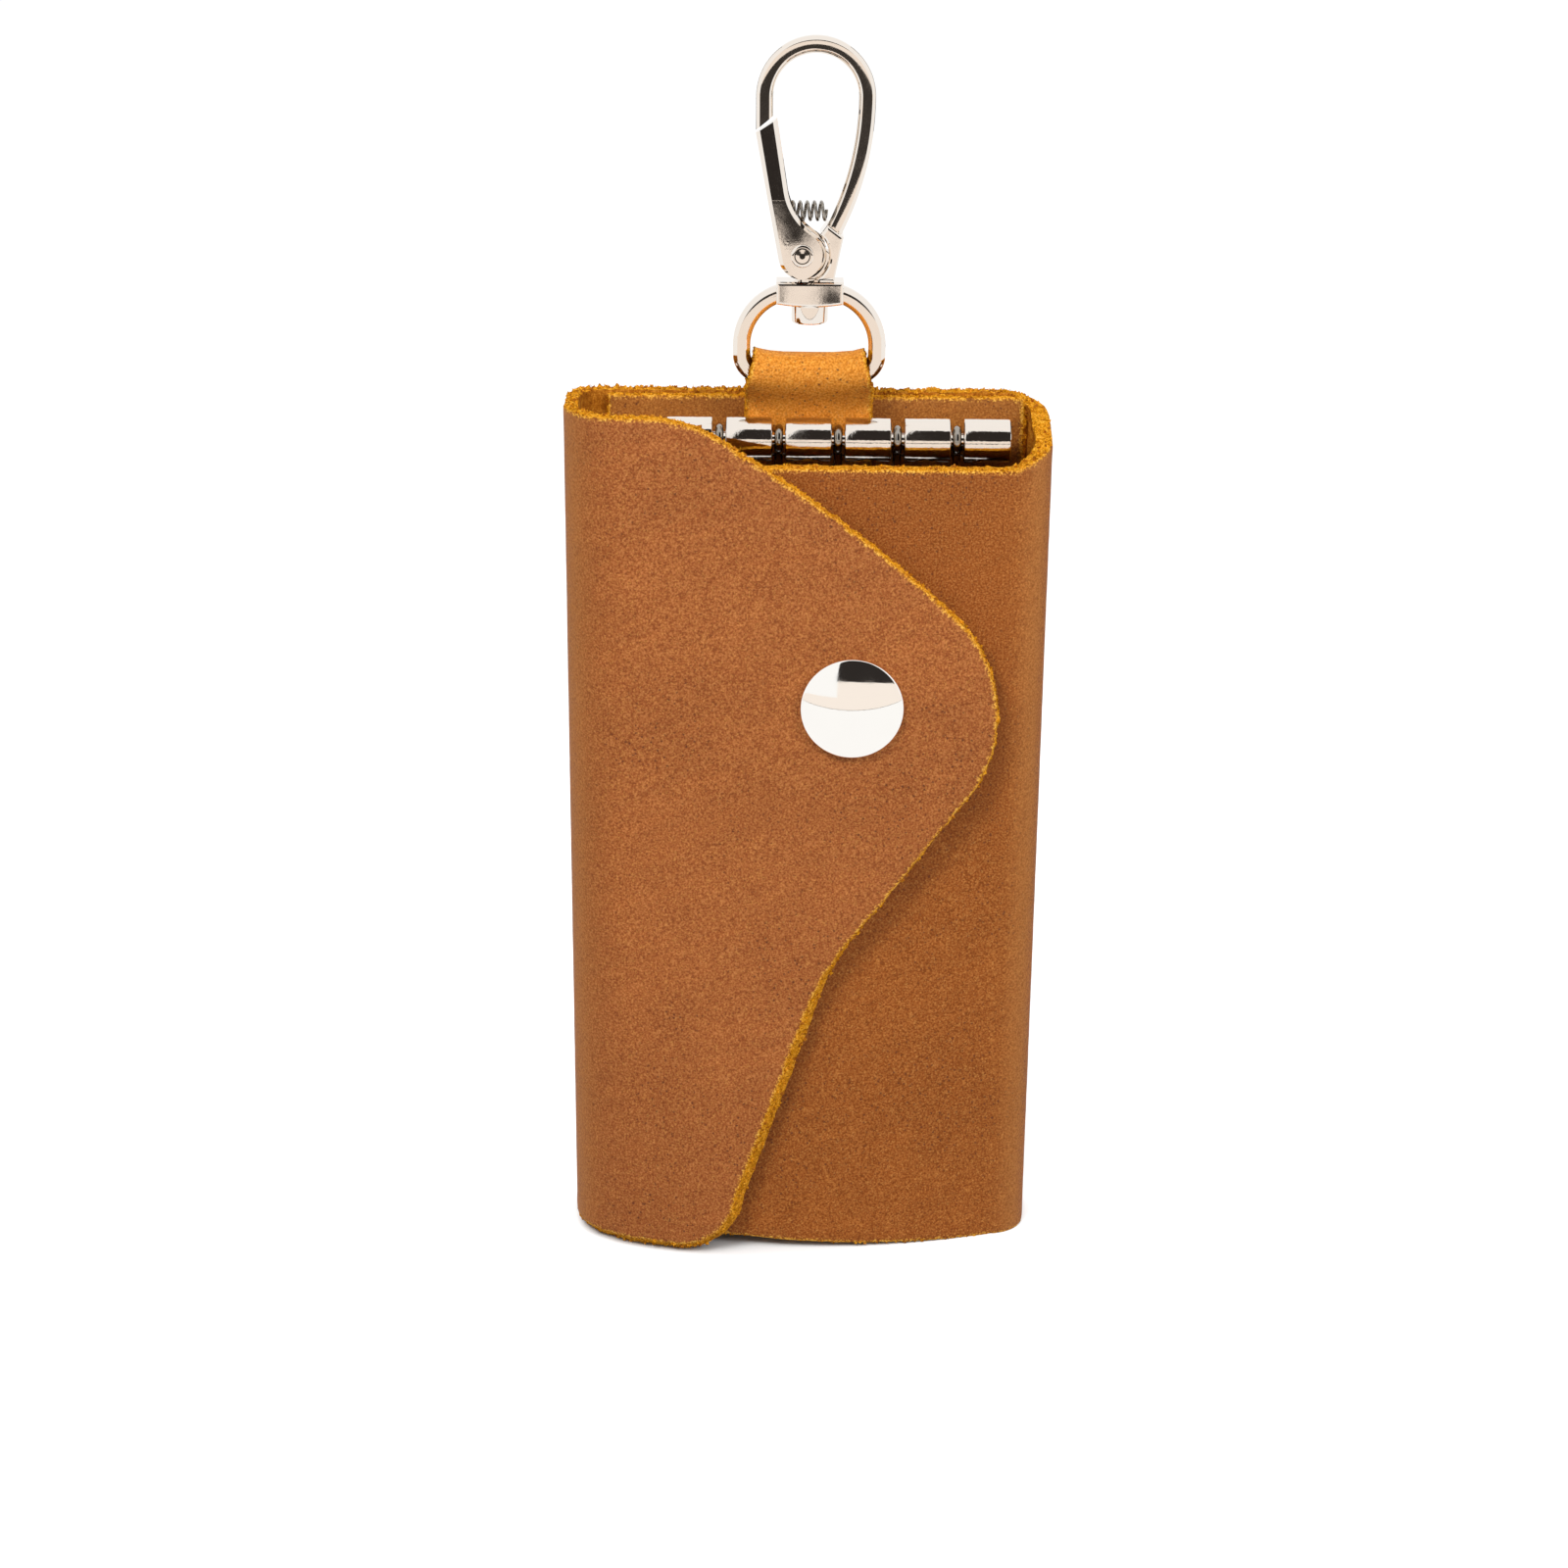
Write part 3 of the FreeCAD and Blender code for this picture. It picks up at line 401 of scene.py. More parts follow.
# Leather cut to an outline of (along, up, raw edge or not): face, underside, torn wall between them, loose bits
def cutPiece(name, outline, place, depth, seed, slots, worn=None, fuzz=1.0, skive=None, fibreScale=1.0, swell=0.0):
    rng = np.random.default_rng(seed)
    line, rawEdge = walkOutline(outline)
    n = len(line)
    rawPoint = rawEdge & np.roll(rawEdge, 1)
    ahead = np.roll(line, -1, 0) - np.roll(line, 1, 0)
    inward = unit(np.stack([-ahead[:, 1], ahead[:, 0]], 1))
    flat = np.column_stack([line, np.zeros(n)])
    shake = sum(share * waver(flat, size, seed + step) for share, size, step in cut["wavers"])
    slope = skive(line[:, 1]) if skive else np.zeros(n)  # the knife leans: the face steps back from the outline
    line = line + inward * np.where(rawPoint, cut["waverMm"] * shake + slope, 0)[:, None]
    after = np.roll(line, -1, 0)
    raws = line[rawEdge], after[rawEdge]
    verts, tris, loop = fillOutline(rng, line, after, inward, rawPoint, raws)
    gap = edgeGap(verts, *raws)
    spot, out = place(verts[:, 0], verts[:, 1])
    nearEdge = np.exp(-gap / cut["edgeRoundMm"])
    rough = cut["roughMm"] * waver(spot, cut["roughSizeMm"], seed + cut["roughSeed"])
    lift = rough * np.exp(-gap / cut["roughReachMm"]) - cut["edgeDropMm"] * nearEdge
    sink = depth - cut["underRiseMm"] * nearEdge - rough + swell * np.exp(-gap / cut["swellReachMm"])
    top, under = spot + out * lift[:, None], spot - out * sink[:, None]
    a, b, c = (spot[[f[i] for f in tris]] for i in range(3))
    facing = np.cross(b - a, c - a) * out[[f[0] for f in tris]]
    side = 1.0 if facing.sum() > 0 else -1.0  # does the strip run with or against its outside
    ahead = np.roll(spot[loop], -1, 0) - np.roll(spot[loop], 1, 0)
    off = unit(side * np.cross(ahead, out[loop]))  # sideways off the cut
    under[loop] += off * np.where(rawPoint, slope, 0)[:, None]

    def wallSpot(i, t):  # a place on the cut wall, from the face down
        return top[loop[i]] * (1 - t) + under[loop[i]] * t

    count = len(verts)
    coords, shares = [top, under], [np.clip(1 - gap / cut["edgeWidthMm"], 0, 1), np.zeros(count)]
    rings, total = [loop.tolist()], 2 * count
    for k in range(1, cut["wallLoops"] + 1):
        t = k / (cut["wallLoops"] + 1)
        row = wallSpot(slice(None), t)
        tuft = sum(share * waver(row, size, seed + step + k) for share, size, step in cut["tufts"])
        push = np.where(rawPoint, cut["crumbMm"] * (tuft + cut["wallBow"] * math.sin(math.pi * t)), 0)
        coords.append(row + off * push[:, None])
        shares.append(np.ones(n))
        rings.append(list(range(total, total + n)))
        total += n
    rings.append((loop + count).tolist())
    faces = tris + [[v + count for v in reversed(f)] for f in tris]
    for upper, lower in zip(rings[:-1], rings[1:]):
        faces += [[upper[(i + 1) % n], upper[i], lower[i], lower[(i + 1) % n]] for i in range(n)]
    finishes = [0] * len(tris) + [1] * len(tris) + [2] * (len(faces) - 2 * len(tris))
    if side < 0:
        faces = [f[::-1] for f in faces]

    loose = []

    def addLoose(bit, bitFaces, finish):
        first = total + len(loose)
        loose.extend(bit)
        faces.extend([first + v for v in face] for face in bitFaces)
        finishes.extend([finish] * len(bitFaces))

    rawPlaces = np.flatnonzero(rawPoint)
    rawLength = len(rawPlaces) * wrap["edgeStepMm"]
    for _ in range(int(rawLength * fibre["perMm"] * fuzz)):
        i = int(rng.choice(rawPlaces))
        root = wallSpot(i, rng.uniform(*fibre["wallShare"])) - off[i] * fibre["rootMm"]
        bit = pulledFibre(rng, root, off[i], out[loop[i]], unit(ahead[i]), fibreScale)
        addLoose(bit, fibre["faces"], len(slots) - 1)
    for _ in range(int(rawLength * crumb["perMm"] * fuzz)):
        i = int(rng.choice(rawPlaces))
        centre = wallSpot(i, rng.uniform(0.0, 1.0)) + off[i] * rng.uniform(*crumb["offMm"])
        bit = looseCrumb(rng, centre, fibreScale)
        addLoose(bit, crumb["faces"], 1 if rng.random() < crumb["fleshShare"] else 2)
    points = np.vstack(coords + [np.array(loose)])
    points[:, 2] = np.maximum(points[:, 2], 0.0)  # nothing under the floor
    piece = addPiece(name, points, faces, finishes, slots, cut["sharp"])
    edgeShare, wornShare = np.concatenate(shares + [np.ones(len(loose))]), np.zeros(len(points))
    if worn:
        wornShare[:count] = worn(verts[:, 0], verts[:, 1])
    for key, values in (("edgeShare", edgeShare), ("wornShare", wornShare)):
        piece.data.attributes.new(key, "FLOAT", "POINT").data.foreach_set("value", values.astype(np.float32))
    print("cut", name, len(points), "points")
    return piece


flapSides = [flapLeather, fleshLeather, edgeLeather]
# the right turn and the front panel take the darker leather: painted shade
panelSides = [panelShadedLeather, fleshLeather, edgeLeather]

# Back with the left back fold: half the left wall, the corner, the flat back
r = corner["back"]
backPath = joinPath([
    ("run", (leftX, leftMid), (leftX, backY - r), (-1, 0)),
    ("turn", (leftX + r, backY - r), r, 2 * quarter, quarter, 1),
    ("run", (leftX + r, backY), (rightX - r, backY), (0, 1))])
backLength = backPath[0][-1]
backLine = [(0, 0, True), (backLength, 0, False), (backLength, height, True), (0, height, False)]
leatherBack = cutPiece("leatherBack", backLine, planPlace(backPath), thick, seed=11, slots=flapSides,
                       worn=foldWear(backY - r - leftMid + r * quarter / 2), fuzz=1.3, fibreScale=1.4)
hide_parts("back_panel", "left_spine")
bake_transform(leatherBack)

# Right back fold with half the right wall; its rim falls towards the front
turnPath = joinPath([
    ("run", (rightX - r, backY), (rightX - r + wrap["hairMm"], backY), (0, 1)),
    ("turn", (rightX - r, backY - r), r, quarter, 0, 1),
    ("run", (rightX, backY - r), (rightX, rightMid), (1, 0))])
turnLength = turnPath[0][-1]
frontTurn = rightMid - panelY - corner["front"] + corner["front"] * quarter
rightRim = {"run": turnLength + frontTurn, "power": 1.2, "drop": height - panelHigh[2], "turnPoints": 24,
            "frontPoints": 30}


def rimHeight(run):  # the rim falls all the way round the right side
    return height - rightRim["drop"] * min(1.0, max(0.0, run / rightRim["run"])) ** rightRim["power"]


rim = [(s, rimHeight(s), True) for s in np.linspace(turnLength, 0, rightRim["turnPoints"])[:-1]]
leatherTurn = cutPiece("leatherRightTurn", [(0, 0, True), (turnLength, 0, False)] + rim + [(0, height, False)],
                       planPlace(turnPath), thick, seed=12, slots=panelSides, worn=foldWear(r * quarter / 2),
                       fuzz=1.3, swell=0.7)
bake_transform(leatherTurn)

# Flap with the left front fold; its outline in shares of the flap's reach and height
flap = {"foot": (0.152, 0.0), "footBend": (0.252, 0.019), "heel": (0.322, 0.074), "waist": (0.509, 0.297),
        "waistBend": (0.564, 0.356), "rise": (0.660, 0.419), "underTip": (0.900, 0.553), "tip": (1.0, 0.658),
        "overTip": (0.892, 0.774), "browBend": (0.579, 0.883), "brow": (0.303, 0.961),
        "shoulderBend": (0.182, 0.990), "shoulder": (0.037, 1.0)}
flapCut = {"skiveMm": 1.3, "skiveLow": 34.0, "skiveHigh": 50.0, "wearMm": 3.0, "wearAt": 0.7}
r = corner["flap"]
flapPath = joinPath([
    ("run", (leftX, leftMid), (leftX, flapY + r), (-1, 0)),
    ("turn", (leftX + r, flapY + r), r, 2 * quarter, 3 * quarter, 1),
    ("run", (leftX + r, flapY), (flapHigh[0], flapY), (0, -1))])
foldEnd = leftMid - flapY - r + r * quarter
flapReach = flapHigh[0] - flapLow[0]
at = {key: (foldEnd + share[0] * flapReach, share[1] * height) for key, share in flap.items()}
flapLine = [at["foot"]] + arcThrough(at["foot"], at["footBend"], at["heel"]) + [at["waist"]]
flapLine += arcThrough(at["waist"], at["waistBend"], at["rise"]) + [at["underTip"]]
flapLine += arcThrough(at["underTip"], at["tip"], at["overTip"])
flapLine += arcThrough(at["overTip"], at["browBend"], at["brow"])
flapLine += arcThrough(at["brow"], at["shoulderBend"], at["shoulder"])


def flapSkive(z):  # the lower edge is cut at a slant
    return flapCut["skiveMm"] * np.clip((flapCut["skiveHigh"] - z) / (flapCut["skiveHigh"] - flapCut["skiveLow"]), 0, 1)


leatherFlap = cutPiece("leatherFlap", [(0, 0, True)] + [(*p, True) for p in flapLine] + [(0, height, False)],
                       planPlace(flapPath, frontSwell), thick, seed=13, slots=flapSides,
                       worn=foldWear(foldEnd - r * quarter * flapCut["wearAt"], flapCut["wearMm"]), fuzz=0.7,
                       skive=flapSkive, fibreScale=1.3)
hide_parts("flap", "left_spine")
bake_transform(leatherFlap)

# Front panel with the right front fold; its free edge lies under the flap, its foot a little off the floor
panel = {"topRound": 8.0, "footRound": 3.0, "footLift": 1.7, "liftPower": 1.5, "liftFrom": 0.9, "liftPoints": 10,
         "roundMid": 0.293}  # how far the middle of a round lies from its corner, in radii
r = corner["front"]
panelPath = joinPath([
    ("run", (rightX, rightMid), (rightX, panelY + r), (1, 0)),
    ("turn", (rightX - r, panelY + r), r, 0, -quarter, 1),
    ("run", (rightX - r, panelY), (panelLow[0], panelY), (0, -1))])
panelEnd, panelTop = panelPath[0][-1], panelHigh[2]
footEnd, topEnd = panelEnd - panel["footRound"], panelEnd - panel["topRound"]
footIn, topIn = panel["footRound"] * panel["roundMid"], panel["topRound"] * panel["roundMid"]
footTurn = arcThrough((footEnd, panel["footLift"]), (panelEnd - footIn, panel["footLift"] + footIn),
                      (panelEnd, panel["footLift"] + panel["footRound"]))
topTurn = arcThrough((panelEnd, panelTop - panel["topRound"]), (panelEnd - topIn, panelTop - topIn), (topEnd, panelTop))
panelLine = [(s, rimHeight(turnLength + s)) for s in np.linspace(0, frontTurn, rightRim["frontPoints"])]
panelLine += topTurn[::-1] + [(panelEnd, panelTop - panel["topRound"])]
panelLine += footTurn[::-1] + [(footEnd, panel["footLift"])]
panelLine += [(frontTurn + (footEnd - frontTurn) * t, panel["footLift"] * t ** panel["liftPower"])
              for t in np.linspace(panel["liftFrom"], 0, panel["liftPoints"])]
panelLine = [(0, 0, True)] + [(*p, True) for p in panelLine[:0:-1]] + [(*panelLine[0], False)]
leatherPanel = cutPiece("leatherPanel", panelLine, planPlace(panelPath, frontSwell), thick, seed=14,
                        slots=panelSides + [fleshLeather], worn=foldWear(rightMid - panelY - r + r * quarter / 2),
                        fuzz=1.2, swell=0.5)
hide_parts("front_panel", "right_spine")
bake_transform(leatherPanel)

# Lining: thin leather glued inside the back, its right end following the fold
liningLow, liningHigh = boxMm("inner_lining")
lining = {"topGap": 0.45, "endTurn": 46.0}
r = corner["back"]
liningY = liningLow[1]
liningPath = joinPath([
    ("run", (liningLow[0], liningY), (rightX - r, liningY), (0, -1)),
    ("turn", (rightX - r, backY - r), liningY - backY + r, quarter, quarter - math.radians(lining["endTurn"]), -1)])
liningWide, liningTop = liningPath[0][-1], height - lining["topGap"]
liningLine = [(0, liningLow[2], True), (liningWide, liningLow[2], True), (liningWide, liningTop, True),
              (0, liningTop, True)]
leatherLining = cutPiece("leatherLining", liningLine, planPlace(liningPath), liningHigh[1] - liningY, seed=15,
                         slots=[liningLeather, fleshLeather, edgeLeather], fuzz=0.8)
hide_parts("inner_lining")
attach(leatherLining, "case_back")

# Hanging strap: one strip folded over the ring's bar, both legs behind the key row
strapLow, strapHigh = boxMm("hanging_strap")
strap = {"thick": 1.2, "loopRadius": 2.5, "loopHalf": 6.9, "spreadDrop": 4.2, "pinchDrop": 4.7, "frontGap": 2.4,
         "riseMm": 0.4, "curlMm": 0.6, "crownDrop": 2.0, "stepMm": 0.4, "loopPoints": 40, "pinchPoints": 24,
         "keep": 0.86}
loopY, loopZ = strapHigh[1] - strap["loopRadius"], strapHigh[2] - strap["loopRadius"]
strapHalf = strapHigh[0]
frontY, pinchZ = strapHigh[1] - strap["frontGap"], loopZ - strap["pinchDrop"]
track = [(strapHigh[1], z, 1.0, 0.0) for z in np.arange(strapLow[2], loopZ, strap["stepMm"])]
for a in np.linspace(0, math.pi, strap["loopPoints"]):
    c, s = math.cos(a), math.sin(a)
    track.append((loopY + strap["loopRadius"] * c, loopZ + strap["loopRadius"] * s, c, s))
nipIn = frontY - (loopY - strap["loopRadius"])
for t in np.linspace(0, 1, strap["pinchPoints"])[1:]:  # under the bar the front leg draws back
    slope = nipIn * 6 * t * (1 - t) / strap["pinchDrop"]
    steep = math.hypot(1, slope)
    track.append((loopY - strap["loopRadius"] + nipIn * smoothStep(t), loopZ - strap["pinchDrop"] * t,
                  -1 / steep, -slope / steep))
track += [(frontY, z, -1.0, 0.0) for z in np.arange(pinchZ - strap["stepMm"], strapLow[2], -strap["stepMm"])]
track = np.array(track)
trackLength = runLength(track[:, :2])


def strapPlace(s, across):  # along the strip, across the strip
    y, z, outY, outZ = (np.interp(s, trackLength, track[:, i]) for i in range(4))
    spread = np.clip((strapHigh[2] - z) / strap["spreadDrop"], 0, 1)
    half = strap["loopHalf"] + (strapHalf - strap["loopHalf"]) * smoothStep(spread)
    share = across / strapHalf
    crown = np.clip(1 + (z - loopZ) / strap["crownDrop"], 0, 1)
    lift = crown * (strap["riseMm"] + strap["curlMm"] * share ** 4)  # the rims curl up most
    out = np.stack([np.zeros_like(s), outY, outZ], axis=1)
    return np.stack([share * half, y, z], axis=1) + out * lift[:, None], out


strapEnd = trackLength[-1]
strapLine = [(0, -strapHalf, True), (strapEnd, -strapHalf, True), (strapEnd, strapHalf, True), (0, strapHalf, True)]
hangingStrap = cutPiece("hangingStrap", strapLine, strapPlace, strap["thick"], seed=16,
                        slots=[strapLeather, fleshLeather, edgeLeather], fuzz=1.2)
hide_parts("hanging_strap")
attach(hangingStrap, "case_back")
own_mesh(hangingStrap)  # the ring's sides pinch it
print("leather wrap done")


# Solid pieces are gathered as (points, faces, finish) in millimetres and joined into one mesh
def joinParts(name, parts, materials, sharp):
    points, faces, finishes = [], [], []
    for partPoints, partFaces, *finish in parts:
        first = len(points)
        points += [tuple(p) for p in partPoints]
        faces += [[first + i for i in face] for face in partFaces]
        finishes += (finish or [0]) * len(partFaces)
    piece = addPiece(name, points, faces, finishes, materials, sharp)
    return piece


def skin(rows, closed=False, flip=False):  # quads between loops of points, with the ends capped
    count, n = len(rows), len(rows[0])
    faces = []
    for i in range(count if closed else count - 1):
        here, there = i * n, (i + 1) % count * n
        for k in range(n):
            j = (k + 1) % n
            quad = [here + k, here + j, there + j, there + k]
            faces.append(quad[:1] + quad[:0:-1] if flip else quad)
    if not closed:
        ends = [list(range(n))[::-1], list(range((count - 1) * n, count * n))]
        faces += [end[::-1] for end in ends] if flip else ends
    return [p for row in rows for p in row], faces


def turnAngles(count):
    return [2 * math.pi * k / count for k in range(count)]


def spoke(radius, degrees):
    return radius * math.cos(math.radians(degrees)), radius * math.sin(math.radians(degrees))


def eased(size, angles):  # insets of a rounded corner
    return [(size * (1 - math.sin(math.radians(a))), size * (1 - math.cos(math.radians(a)))) for a in angles]


def turned(profile, centre, axis, sides):  # lathe: (radius, height) rows round an axis, closed at both ends
    axis = Vector(axis)
    across = axis.orthogonal().normalized()
    other = axis.cross(across)
    return skin([[Vector(centre) + axis * rise + (across * math.cos(a) + other * math.sin(a)) * radius
                  for a in turnAngles(sides)] for radius, rise in profile])


def chamfered(half, flatShare, soft, pull=0.985):  # square stock with wide chamfers, every corner eased
    corners = [(1, -flatShare), (1, flatShare), (flatShare, 1), (-flatShare, 1), (-1, flatShare), (-1, -flatShare),
               (-flatShare, -1), (flatShare, -1)]
    section = []
    for k, here in enumerate(corners):
        for near, share, size in ((corners[k - 1], soft, 1.0), (here, 0, pull), (corners[(k + 1) % 8], soft, 1.0)):
            section.append(tuple(half * size * (a + (b - a) * share) for a, b in zip(here, near)))
    return section


def swept(path, section, normal, closed=False, slant=0.0):  # stock along a flat path, its start cut at a slant
    path, normal = np.array(path, float), np.array(normal, float)
    ahead = np.roll(path, -1, 0) - np.roll(path, 1, 0)
    if not closed:
        ahead[0], ahead[-1] = path[1] - path[0], path[-1] - path[-2]
    ahead = unit(ahead)
    side = np.cross(normal, ahead)
    rows = [[spot + across * u + normal * v for u, v in section] for spot, across in zip(path, side)]
    rows[0] = [p + ahead[0] * (slant * u) for p, (u, v) in zip(rows[0], section)]
    return skin(rows, closed, flip=True)


def arcRun(centre, radius, start, end, stepMm=0.25):  # points of an arc in the x-z plane, angles in degrees
    a0, a1 = math.radians(start), math.radians(end)
    count = max(4, int(abs(a1 - a0) * radius / stepMm))
    return [(centre[0] + radius * math.cos(a0 + (a1 - a0) * i / count),
             centre[1] + radius * math.sin(a0 + (a1 - a0) * i / count)) for i in range(count + 1)]


def tidyLine(points, least=1e-4):  # drops repeated points
    kept = [points[0]]
    for p in points[1:]:
        if math.dist(p, kept[-1]) > least:
            kept.append(p)
    if math.dist(kept[0], kept[-1]) < least:
        kept.pop()
    return kept


def plate(outline, front, back, bevel, mitre=0.55):  # x-z outline given thickness in y, edges rounded
    line = np.array(tidyLine(outline))
    if np.sum(line[:, 0] * np.roll(line[:, 1], -1) - np.roll(line[:, 0], -1) * line[:, 1]) < 0:
        line = line[::-1]
    both = unit(line - np.roll(line, 1, 0)) + unit(np.roll(line, -1, 0) - line)
    inward = np.stack([-both[:, 1], both[:, 0]], 1)
    length = np.linalg.norm(inward, axis=1)[:, None]
    inward = inward / np.maximum(length, 1e-6) / np.maximum(length / 2, mitre)
    rows = [(inset, front + step) for inset, step in eased(bevel, (0, 30, 60, 90))]
    rows += [(inset, back - (y - front)) for inset, y in reversed(rows)]
    return skin([[(p[0], y, p[1]) for p in line + inward * inset] for inset, y in reversed(rows)])


axisMm = 0.05  # radius of the small flat that closes a turned piece

# Snap cap: pressed dome with a rolled rim
capLow, capHigh = boxMm("snap_cap")
cap = {"rim": 0.7, "roll": 0.35, "rollIn": 0.6, "domeRows": 28, "peak": 0.02, "sides": 96,
       "skirt": ((0, 0.25), (0.15, 0.05), (0.5, -0.12))}  # inset and height of the rows under the roll
capRadius, capRise = (capHigh[0] - capLow[0]) / 2, flapY - capLow[1]
domeRise = capRise - cap["rim"]
ball = (capRadius ** 2 + domeRise ** 2) / (2 * domeRise)
edgeAngle = math.asin((capRadius - cap["roll"] * cap["rollIn"]) / ball)
angles = [edgeAngle * i / cap["domeRows"] for i in range(cap["domeRows"] + 1)]
profile = [(max(cap["peak"], ball * math.sin(a)), capRise - ball * (1 - math.cos(a))) for a in angles]
rollTop = profile[-1][1]
profile += [(capRadius - inset * cap["rollIn"], rollTop - drop) for inset, drop in eased(cap["roll"], (40, 65, 90))]
profile += [(capRadius - inset, rise) for inset, rise in cap["skirt"]]
capCentre = ((capLow[0] + capHigh[0]) / 2, flapY, (capLow[2] + capHigh[2]) / 2)
snapCap = joinParts("snapCap", [turned(profile[::-1], capCentre, (0, -1, 0), cap["sides"])], [capLitNickel], sharp=50)
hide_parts("snap_cap")
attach(snapCap, "front_flap")

# Swivel ring: bevelled stock with a block boss
ringLow, ringHigh = boxMm("swivel_ring")
ring = {"stock": 2.2, "flatShare": 0.5, "soft": 0.2, "lowRadius": 2.6, "sideRun": 1.2, "highRadius": 6.8,
        "bossWide": 8.4, "bossDeep": 4.4, "bossTall": 2.8, "bossBevel": 0.42, "bossBow": 0.35, "bowSteps": 16}
ringR = ring["stock"] / 2
ringY = (ringLow[1] + ringHigh[1]) / 2
sideX = ringHigh[0] - ringR
lowZ = ringLow[2] + ringR + ring["lowRadius"]
waistZ = lowZ + ring["sideRun"]
bossZ = waistZ + ring["highRadius"]
line = arcRun((sideX - ring["lowRadius"], lowZ), ring["lowRadius"], -90, 0)
line += arcRun((sideX - ring["highRadius"], waistZ), ring["highRadius"], 0, 90)
line += [(-x, z) for x, z in reversed(line)]
ringPath = [(x, ringY, z) for x, z in tidyLine(line)]
bossHalf, bossLow, bossHigh = ring["bossWide"] / 2, bossZ - ring["bossTall"] / 2, bossZ + ring["bossTall"] / 2
bowShares = [2 * k / ring["bowSteps"] - 1 for k in range(ring["bowSteps"] + 1)]
bossLine = [(bossHalf * t, bossLow - ring["bossBow"] * (1 - t ** 2)) for t in bowShares]
bossLine = [(-bossHalf, bossHigh)] + bossLine + [(bossHalf, bossHigh)]
swivelRing = joinParts("swivelRing", [
    swept(ringPath, chamfered(ringR, ring["flatShare"], ring["soft"]), (0, 1, 0), closed=True),
    plate(bossLine, ringY - ring["bossDeep"] / 2, ringY + ring["bossDeep"] / 2, ring["bossBevel"])],
    [castNickel], sharp=12)
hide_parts("swivel_ring")
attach(swivelRing, "ring")

# Swivel stud: turned head under the boss
studLow, studHigh = boxMm("swivel_stud")
stud = {"headRadius": 2.3, "headTall": 2.4, "shaftRadius": 1.3, "round": 0.35, "breakIn": 0.15, "breakDown": 0.2,
        "sides": 48}
head, headTop, studTall = stud["headRadius"], stud["headTall"], studHigh[2] - studLow[2]
studRows = [(axisMm, 0), (head - stud["round"], 0)]
studRows += [(head - inset, rise) for inset, rise in eased(stud["round"], (30, 60, 90))]
studRows += [(head, headTop - stud["breakDown"]), (head - stud["breakIn"], headTop), (stud["shaftRadius"], headTop),
             (stud["shaftRadius"], studTall), (axisMm, studTall)]
swivelStud = joinParts("swivelStud", [turned(studRows, (0, ringY, studLow[2]), (0, 0, 1), stud["sides"])],
                       [castNickel], sharp=25)
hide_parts("swivel_stud")
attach(swivelStud, "hook")

# Snap hook: bow and limb in bevelled stock, cast block and tongue
hookLow, hookHigh = boxMm("hook_frame")
hook = {"stock": 2.1, "flatShare": 0.56, "soft": 0.16, "bowRadius": 6.3, "bowOffset": 0.5, "limbLean": 3.3,
        "limbGap": 0.2, "limbSink": 2.2, "noseDrop": 4.0, "noseSlant": 1.7, "noseRun": 0.8, "blockTall": 7.0,
        "blockFoot": 3.0, "blockInner": 2.0, "blockDeep": 5.0, "bevel": 0.4, "chevron": (2.07, 6.9),
        "chevronEnd": (4.1, 5.4), "hollowTurns": (50, -66, -6), "pivot": (-1.0, 3.1), "cheek": 3.0,
        "cheekGap": 0.35, "tongueDeep": 2.6, "tongueRadius": 2.6, "tongueTurns": (20, 300), "tongueToe": -0.3,
        "tongueHeelIn": 0.2, "tongueLap": 0.6, "tongueBevel": 0.15}
hookFoot = hookLow[2]
hookR = hook["stock"] / 2
bowRise = hookHigh[2] - hookFoot - hookR - hook["bowRadius"]
bowLeft, bowRight = hook["bowOffset"] - hook["bowRadius"], hook["bowOffset"] + hook["bowRadius"]
limbDrop = bowRise - (hook["blockTall"] + hook["limbGap"])
limbRadius = (hook["limbLean"] ** 2 + limbDrop ** 2) / (2 * hook["limbLean"])
limbTurn = math.degrees(2 * math.atan2(hook["limbLean"], limbDrop))
line = [(bowLeft, bowRise - hook["noseDrop"] + hook["noseSlant"] / 2), (bowLeft, bowRise - hook["noseRun"])]
line += arcRun((hook["bowOffset"], bowRise), hook["bowRadius"], 180, 0)
line += arcRun((bowRight - limbRadius, bowRise), limbRadius, 0, -limbTurn)
lastX, lastRise = line[-1]
line.append((lastX - hook["limbSink"] * math.tan(math.radians(limbTurn)), lastRise - hook["limbSink"]))
hookPath = [(x, ringY, hookFoot + rise) for x, rise in tidyLine(line)]
pivotX, pivotRise = hook["pivot"]
hollow = [spoke(hook["cheek"] + hook["cheekGap"], a) for a in range(*hook["hollowTurns"])]
blockLine = [hook["chevronEnd"], hook["chevron"]] + [(pivotX + x, pivotRise + rise) for x, rise in hollow]
blockLine = [(x, hookFoot + max(rise, 0)) for x, rise in blockLine + [(hook["blockFoot"], 0)]]
tongueLine = arcRun((pivotX, hookFoot + pivotRise), hook["tongueRadius"], *hook["tongueTurns"])
tongueLine += [(hook["tongueToe"], hookFoot), (hook["blockFoot"] - hook["tongueHeelIn"], hookFoot),
               (hook["blockInner"] + hook["tongueLap"], hookFoot + pivotRise)]
deep, slim = hook["blockDeep"] / 2, hook["tongueDeep"] / 2
snapHook = joinParts("snapHook", [
    swept(hookPath, chamfered(hookR, hook["flatShare"], hook["soft"]), (0, 1, 0),
          slant=hook["noseSlant"] / hook["stock"]),
    plate(blockLine, ringY - deep, ringY + deep, hook["bevel"]),
    plate(tongueLine, ringY - slim, ringY + slim, hook["tongueBevel"])], [castNickel], sharp=12)
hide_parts("hook_frame")
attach(snapHook, "hook")

